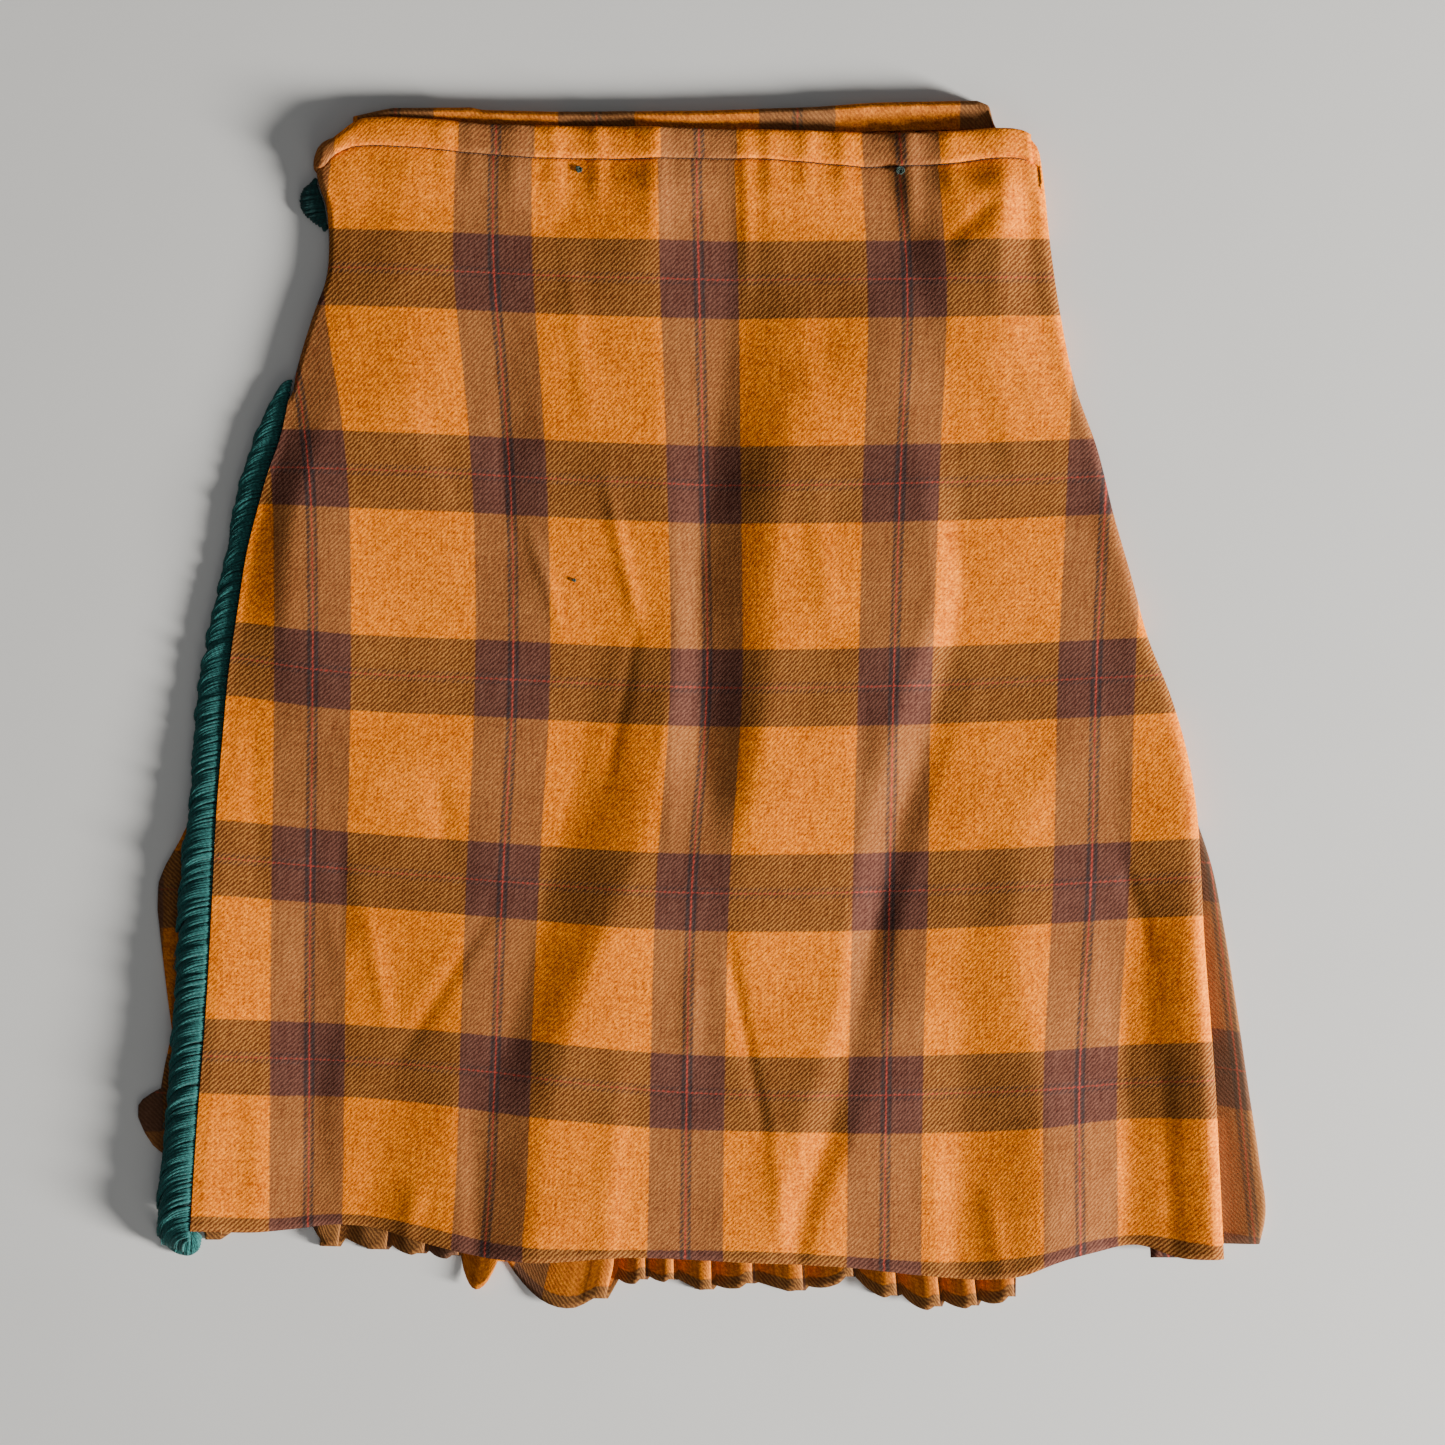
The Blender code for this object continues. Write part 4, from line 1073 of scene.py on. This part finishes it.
def makeYarns(name, paths, widths, material):
    # one six-sided tube for each path, with as many rings as the path has points
    rings = paths.shape[1]
    tube = bmesh.new()
    bmesh.ops.create_cone(tube, segments=6, radius1=1, radius2=1, depth=1, cap_ends=True)
    upright = [e for e in tube.edges if abs(e.verts[0].co.z - e.verts[1].co.z) > 0.5]
    bmesh.ops.subdivide_edges(tube, edges=upright, cuts=rings - 2)
    template = meshFrom(name + "Yarn", tube)
    spots = pointsOf(template)
    bm = bmesh.new()
    for _ in range(len(paths)):
        bm.from_mesh(template)
    mesh = meshFrom(name, bm)
    bpy.data.meshes.remove(template)

    ring = np.rint((spots[:, 2] + 0.5) * (rings - 1)).astype(int)
    ahead = np.gradient(paths, axis=1)
    ahead /= np.linalg.norm(ahead, axis=2, keepdims=True)
    aside = np.cross(ahead, (0, 0, 1))
    aside /= np.linalg.norm(aside, axis=2, keepdims=True)
    upward = np.cross(aside, ahead)
    around = aside[:, ring] * spots[:, 0, None] + upward[:, ring] * spots[:, 1, None]
    lengths = np.linalg.norm(np.diff(paths, axis=1), axis=2).cumsum(1)
    lengths = np.concatenate([np.zeros((len(paths), 1)), lengths], 1)
    shift = np.arange(len(paths))[:, None] * 7.31  # each yarn has its own place in the noise
    v = (lengths[:, ring] * mm + shift).ravel()
    u = (np.tile(spots[:, 0], (len(paths), 1)) + shift * 3.7).ravel()
    points = paths[:, ring] + widths[:, ring, None] * around
    return addPiece(name, mesh, points, "yarn", np.stack([u, v], 1), material)


def edgeX(y):
    return float(follow(frontLeft, y))


def heightAt(x, y, top):
    # the front apron's height at one point, with its top edge at this y
    return float(frontHeight(*(np.array([value]) for value in (x, y, top - y)))[0])


def taper(half, start, end, near=0.12, far=0.85):
    # a yarn's half width along it, thinner towards both ends
    return half * np.interp(np.linspace(0, 1, yarnPoints), [0, near, far, 1], [start, 1, 1, end])


def yarnPath(y, reach, drop, z, lift):
    # out from the edge, then down, as a quarter of an oval
    t = np.linspace(0, 1, yarnPoints)
    turn = t * pi / 2
    drop = min(drop, y - fringe["lowest"] - fringe["hang"] * reach)
    edge = edgeX(y)
    root = heightAt(edge, y, 315) - stack["wall"]
    shaded = float(between(y, *fringe["shaded"]))
    root -= fringe["sunk"] * shaded
    crown = lift * (1 - fringe["flatter"] * shaded)
    height = mix(root, z, t ** 1.5) + crown * np.sin(t * pi) ** 0.8
    x = edge - 0.2 - reach * np.sin(turn) ** 0.92
    return np.stack([x, y - drop * (1 - np.cos(turn)), height], 1)


def fringeReach(y, drop):
    # from the edge to the fringe's outline, where the end of a yarn from y comes to lie
    out = fromX(follow(fringeOut, toY(y - drop * 0.7)))
    return max(float(edgeX(y) - out), fringe["least"])


def fringePaths():
    # each lock's yarns leave the edge side by side, turn down and run together at their ends,
    # where the next lock lies over them
    chance = np.random.default_rng(fringe["seed"])
    top, bottom = fringe["ends"]
    paths, widths = [], []
    y0 = top
    while y0 > bottom:
        lock = fringe["lock"] * chance.uniform(0.6, 1.5)
        droop = float(follow(fringeDrop, y0)) * chance.uniform(0.85, 1.2)
        share, crown = chance.uniform(0.95, 1.03), chance.uniform(0.5, 1.2)
        for q in np.linspace(-0.5, 0.5, fringe["yarns"]):
            stray = chance.normal(0, 1, 4)
            y = y0 + q * lock * 1.15 + stray[0] * 0.5
            drop = droop + (q - 0.2) * lock * 0.3 + stray[2] * 1.1
            reach = fringeReach(y, drop) * share * (1 - 0.07 * abs(q + 0.1)) - 0.9 + stray[1] * 0.3
            rest = 1.7 + 1.3 * float(between(-y, 40, 60)) + 0.15 * stray[3]
            paths.append(yarnPath(y, reach, drop, rest, (0.4 + 2.1 * np.cos(q * 2.7)) * crown))
            half = mix(*fringe["width"], chance.random())
            widths.append(taper(half, 0.8, 0.7))
        y0 -= lock
    t = np.linspace(0, 1, yarnPoints)[:, None]
    # the last lock runs round the corner, each yarn on a curve with one bend
    for q in np.linspace(0, 1, fringe["bulb"]):
        stray = chance.normal(0, 1, 4)
        root = np.array([edgeX(bottom) - 0.5, bottom + 6 - 5 * q + stray[0], 4.2])
        endX, endY = fromX(follow(fringeEnds, q)) + 0.8, fromY(follow(fringeEnds, q, "y"))
        end = np.array([float(endX), float(endY), 1.4 + 0.4 * abs(stray[1])])
        bendX, bendY = mix(root[0], end[0], 0.75), mix(root[1], end[1], 0.25) + stray[2]
        bend = np.array([bendX, bendY, 5.2 + 0.5 * stray[3]])
        paths.append((1 - t) ** 2 * root + 2 * t * (1 - t) * bend + t ** 2 * end)
        widths.append(taper(1.1, 0.8, 0.75))
    # loose hairs follow a yarn and stand off it
    for twin in chance.integers(len(paths), size=fringe["strays"]):
        away = t ** 1.5 * chance.normal(0, 1, 3) * (0.9, 1.8, 0.4)
        away[:, 2] = np.abs(away[:, 2]) + 1.2
        paths.append(paths[twin] + away * np.sin(t * pi / 2))
        widths.append(np.full(yarnPoints, 0.2))
    return np.array(paths), np.array(widths)


def fringeUnderPaths():
    chance = np.random.default_rng(fringe["seed"] + 1)
    top, bottom = fringe["ends"]
    paths, widths = [], []
    for y in np.arange(top, bottom, -fringe["under"]):
        drop = float(follow(fringeDrop, y)) * 0.9
        reach = fringeReach(y, drop) * chance.uniform(0.86, 0.93) - 1.0
        rest = 1.5 + 0.6 * float(between(-y, 40, 60))
        paths.append(yarnPath(y, reach, drop, rest, -0.3))
        widths.append(taper(1.3, 0.6, 0.7, 0.1, 0.9))
    return np.array(paths), np.array(widths)


teal = yarnMaterial("fringeYarn", (0.035, 0.2, 0.185), (0.003, 0.032, 0.034))
# painted shade: a darker copy of the teal yarn for the under layer and the fringe's upper end, which lie
# in shade
shadedTeal = yarnMaterial("fringeYarnShade", (0.02, 0.09, 0.085), (0.003, 0.02, 0.02))
fringePiece = makeYarns("fringeYarns", *fringePaths(), teal)
fringeUnder = makeYarns("fringeUnder", *fringeUnderPaths(), shadedTeal)

fringeTop = {
    "count": 22,
    "span": (181.0, 228.0),  # where it leaves the side, in pixels down
    "seed": 3,
}
fringeTopOut = chart("y x", [
    (181, 315), (185, 307), (190, 302), (197, 300), (205, 300.5), (211, 304), (217, 310), (223, 318),
    (228, 326)])


def fringeTopPaths():
    chance = np.random.default_rng(fringeTop["seed"])
    count = fringeTop["count"]
    down = np.linspace(*fringeTop["span"], count)
    y = fromY(down)
    edge = follow(frontLeft, y)
    t = np.linspace(0, 1, 7)
    reach = np.maximum(edge - fromX(follow(fringeTopOut, down)) - 1.0, 1.5)
    reach = reach * mix(0.95, 1.03, chance.random(count))
    x = edge[:, None] - 0.6 - reach[:, None] * t[None]
    yy = y[:, None] - 1.6 * (t ** 1.4)[None]
    z = mix(2.6, 1.9, t)[None] + chance.normal(0, 0.25, (count, 1)) + np.sin(t * pi)[None] * 0.9
    widths = mix(1.0, 1.4, chance.random(count))[:, None] * np.interp(t, [0, 0.85, 1], [1, 1, 0.7])[None]
    return np.stack([x, yy, z], 2), widths


fringeEnd = makeYarns("fringeTop", *fringeTopPaths(), shadedTeal)
print("fringe: done")


# Thread ends left in the waistband's seam, and a speck on the cloth

knots = {
    "spots": [(580, 172, 4.2), (899, 175, 5.4)],  # pixels, then mm across
    "speck": (575, 581, 1.6),
    "thread": 0.42,
    "above": 0.75,  # the threads lie this far above the middle of the cloth
    "seed": 12,
}


def knotPaths():
    chance = np.random.default_rng(knots["seed"])
    paths = []
    for px, py, size in knots["spots"] + [knots["speck"]]:
        x, y = float(fromX(px)), float(fromY(py))
        z = heightAt(x, y, 313) + knots["above"]
        for _ in range(7):
            turn = chance.random() * 2 * pi
            t = np.linspace(0, 1, 9)
            bend = turn + t * mix(1.5, 4.5, chance.random())
            r = size * 0.5 * mix(0.35, 1.0, chance.random()) * np.sin(t * pi * 0.8 + 0.2)
            raised = z + 0.5 * np.sin(t * pi)
            paths.append(np.stack([x + r * np.cos(bend), y + r * np.sin(bend), raised], 1))
    paths = np.array(paths)
    return paths, np.full(paths.shape[:2], knots["thread"])


knotThread = yarnMaterial("knotThread", (0.07, 0.11, 0.09), (0.01, 0.025, 0.022))
threadEnds = makeYarns("threadEnds", *knotPaths(), knotThread)

stitches = {
    "count": 150,
    "gap": 0.14,  # share of a stitch's length left before the next
    "thread": 0.36,
    "above": 0.6,
    "arch": 0.12,
    "below": 0.6,  # mm under the waistband's edge
}


def stitchPaths():
    paths = []
    marks = np.linspace(0.006, 0.984, stitches["count"] + 1)
    for start, end in zip(marks, marks[1:]):
        s = np.linspace(start, end - (end - start) * stitches["gap"], 5)
        px = mix(front["seamFrom"], front["seamTo"], s)
        down = frontBand["depth"] * follow(seamDepth, px, rounded=False) + stitches["below"]
        y = topEdge(s) - down
        x, y, z, _, _ = frontAt(s, y, down + 0.3)
        z = z + stitches["above"] + stitches["arch"] * np.sin(np.linspace(0, pi, 5))
        paths.append(np.stack([x, y, z], 1))
    paths = np.array(paths)
    return paths, np.full(paths.shape[:2], stitches["thread"])


# the stitches are real; their near-black colour also paints the shade of the seam's groove
seamThreadAndGrooveShade = yarnMaterial("seamThreadAndGrooveShade", (0.075, 0.024, 0.008), (0.02, 0.007, 0.003))
seamStitches = makeYarns("seamStitches", *stitchPaths(), seamThreadAndGrooveShade)
print("threads: done")


# The floor, and what each piece stands for in the frame

floorSize = 3.0
bm = bmesh.new()
bmesh.ops.create_grid(bm, x_segments=1, y_segments=1, size=floorSize)
floor = bpy.data.objects.new("floor", meshFrom("floor", bm))
bpy.context.scene.collection.objects.link(floor)
paper, paperShader, n = newMaterial("paper", {"Roughness": 0.9})
grain = n.noise(n.add("ShaderNodeTexCoord").outputs["Object"], 9, 3, 0.5)
n.wire(n.blend(grain, (0.70, 0.70, 0.69), (0.74, 0.74, 0.73)), paperShader.inputs["Base Color"])
floor.data.materials.append(paper)

sheets = [  # piece, node, cut width and length, flat area, how it is held, what it lies on
    (frontApron, "front_apron", (0.60, 0.62), 0.322, "laid", ["under_apron"]),
    (underPiece, "under_apron", (0.48, 0.58), 0.225, "laid", ["pleated_back"]),
    (pleatedBack, "pleated_back", (0.96, 0.64), 0.476, "folded", ["floor"]),
    (deepSide, "deep_side_pleat", (0.13, 0.59), 0.059, "folded", ["floor"]),
    (firstSide, "first_side_pleat", (0.11, 0.605), 0.049, "folded", ["floor"]),
    (frontWaistband, "front_waistband", (0.40, 0.026), 0.0092, "folded", ["front_apron"]),
    (backWaistband, "back_waistband", (0.352, 0.04), 0.0125, "folded", ["floor"]),
]
for piece, node, flat, area, held, below in sheets:
    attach(piece, "root")
    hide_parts(node)
for piece, node in ((fringePiece, "fringe"), (fringeUnder, "fringe"), (fringeEnd, "fringe_end")):
    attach(piece, "root")
    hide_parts(node)
for piece, node in ((threadEnds, "fringe"), (seamStitches, "front_waistband")):
    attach(piece, "root")

print("kilt: done")
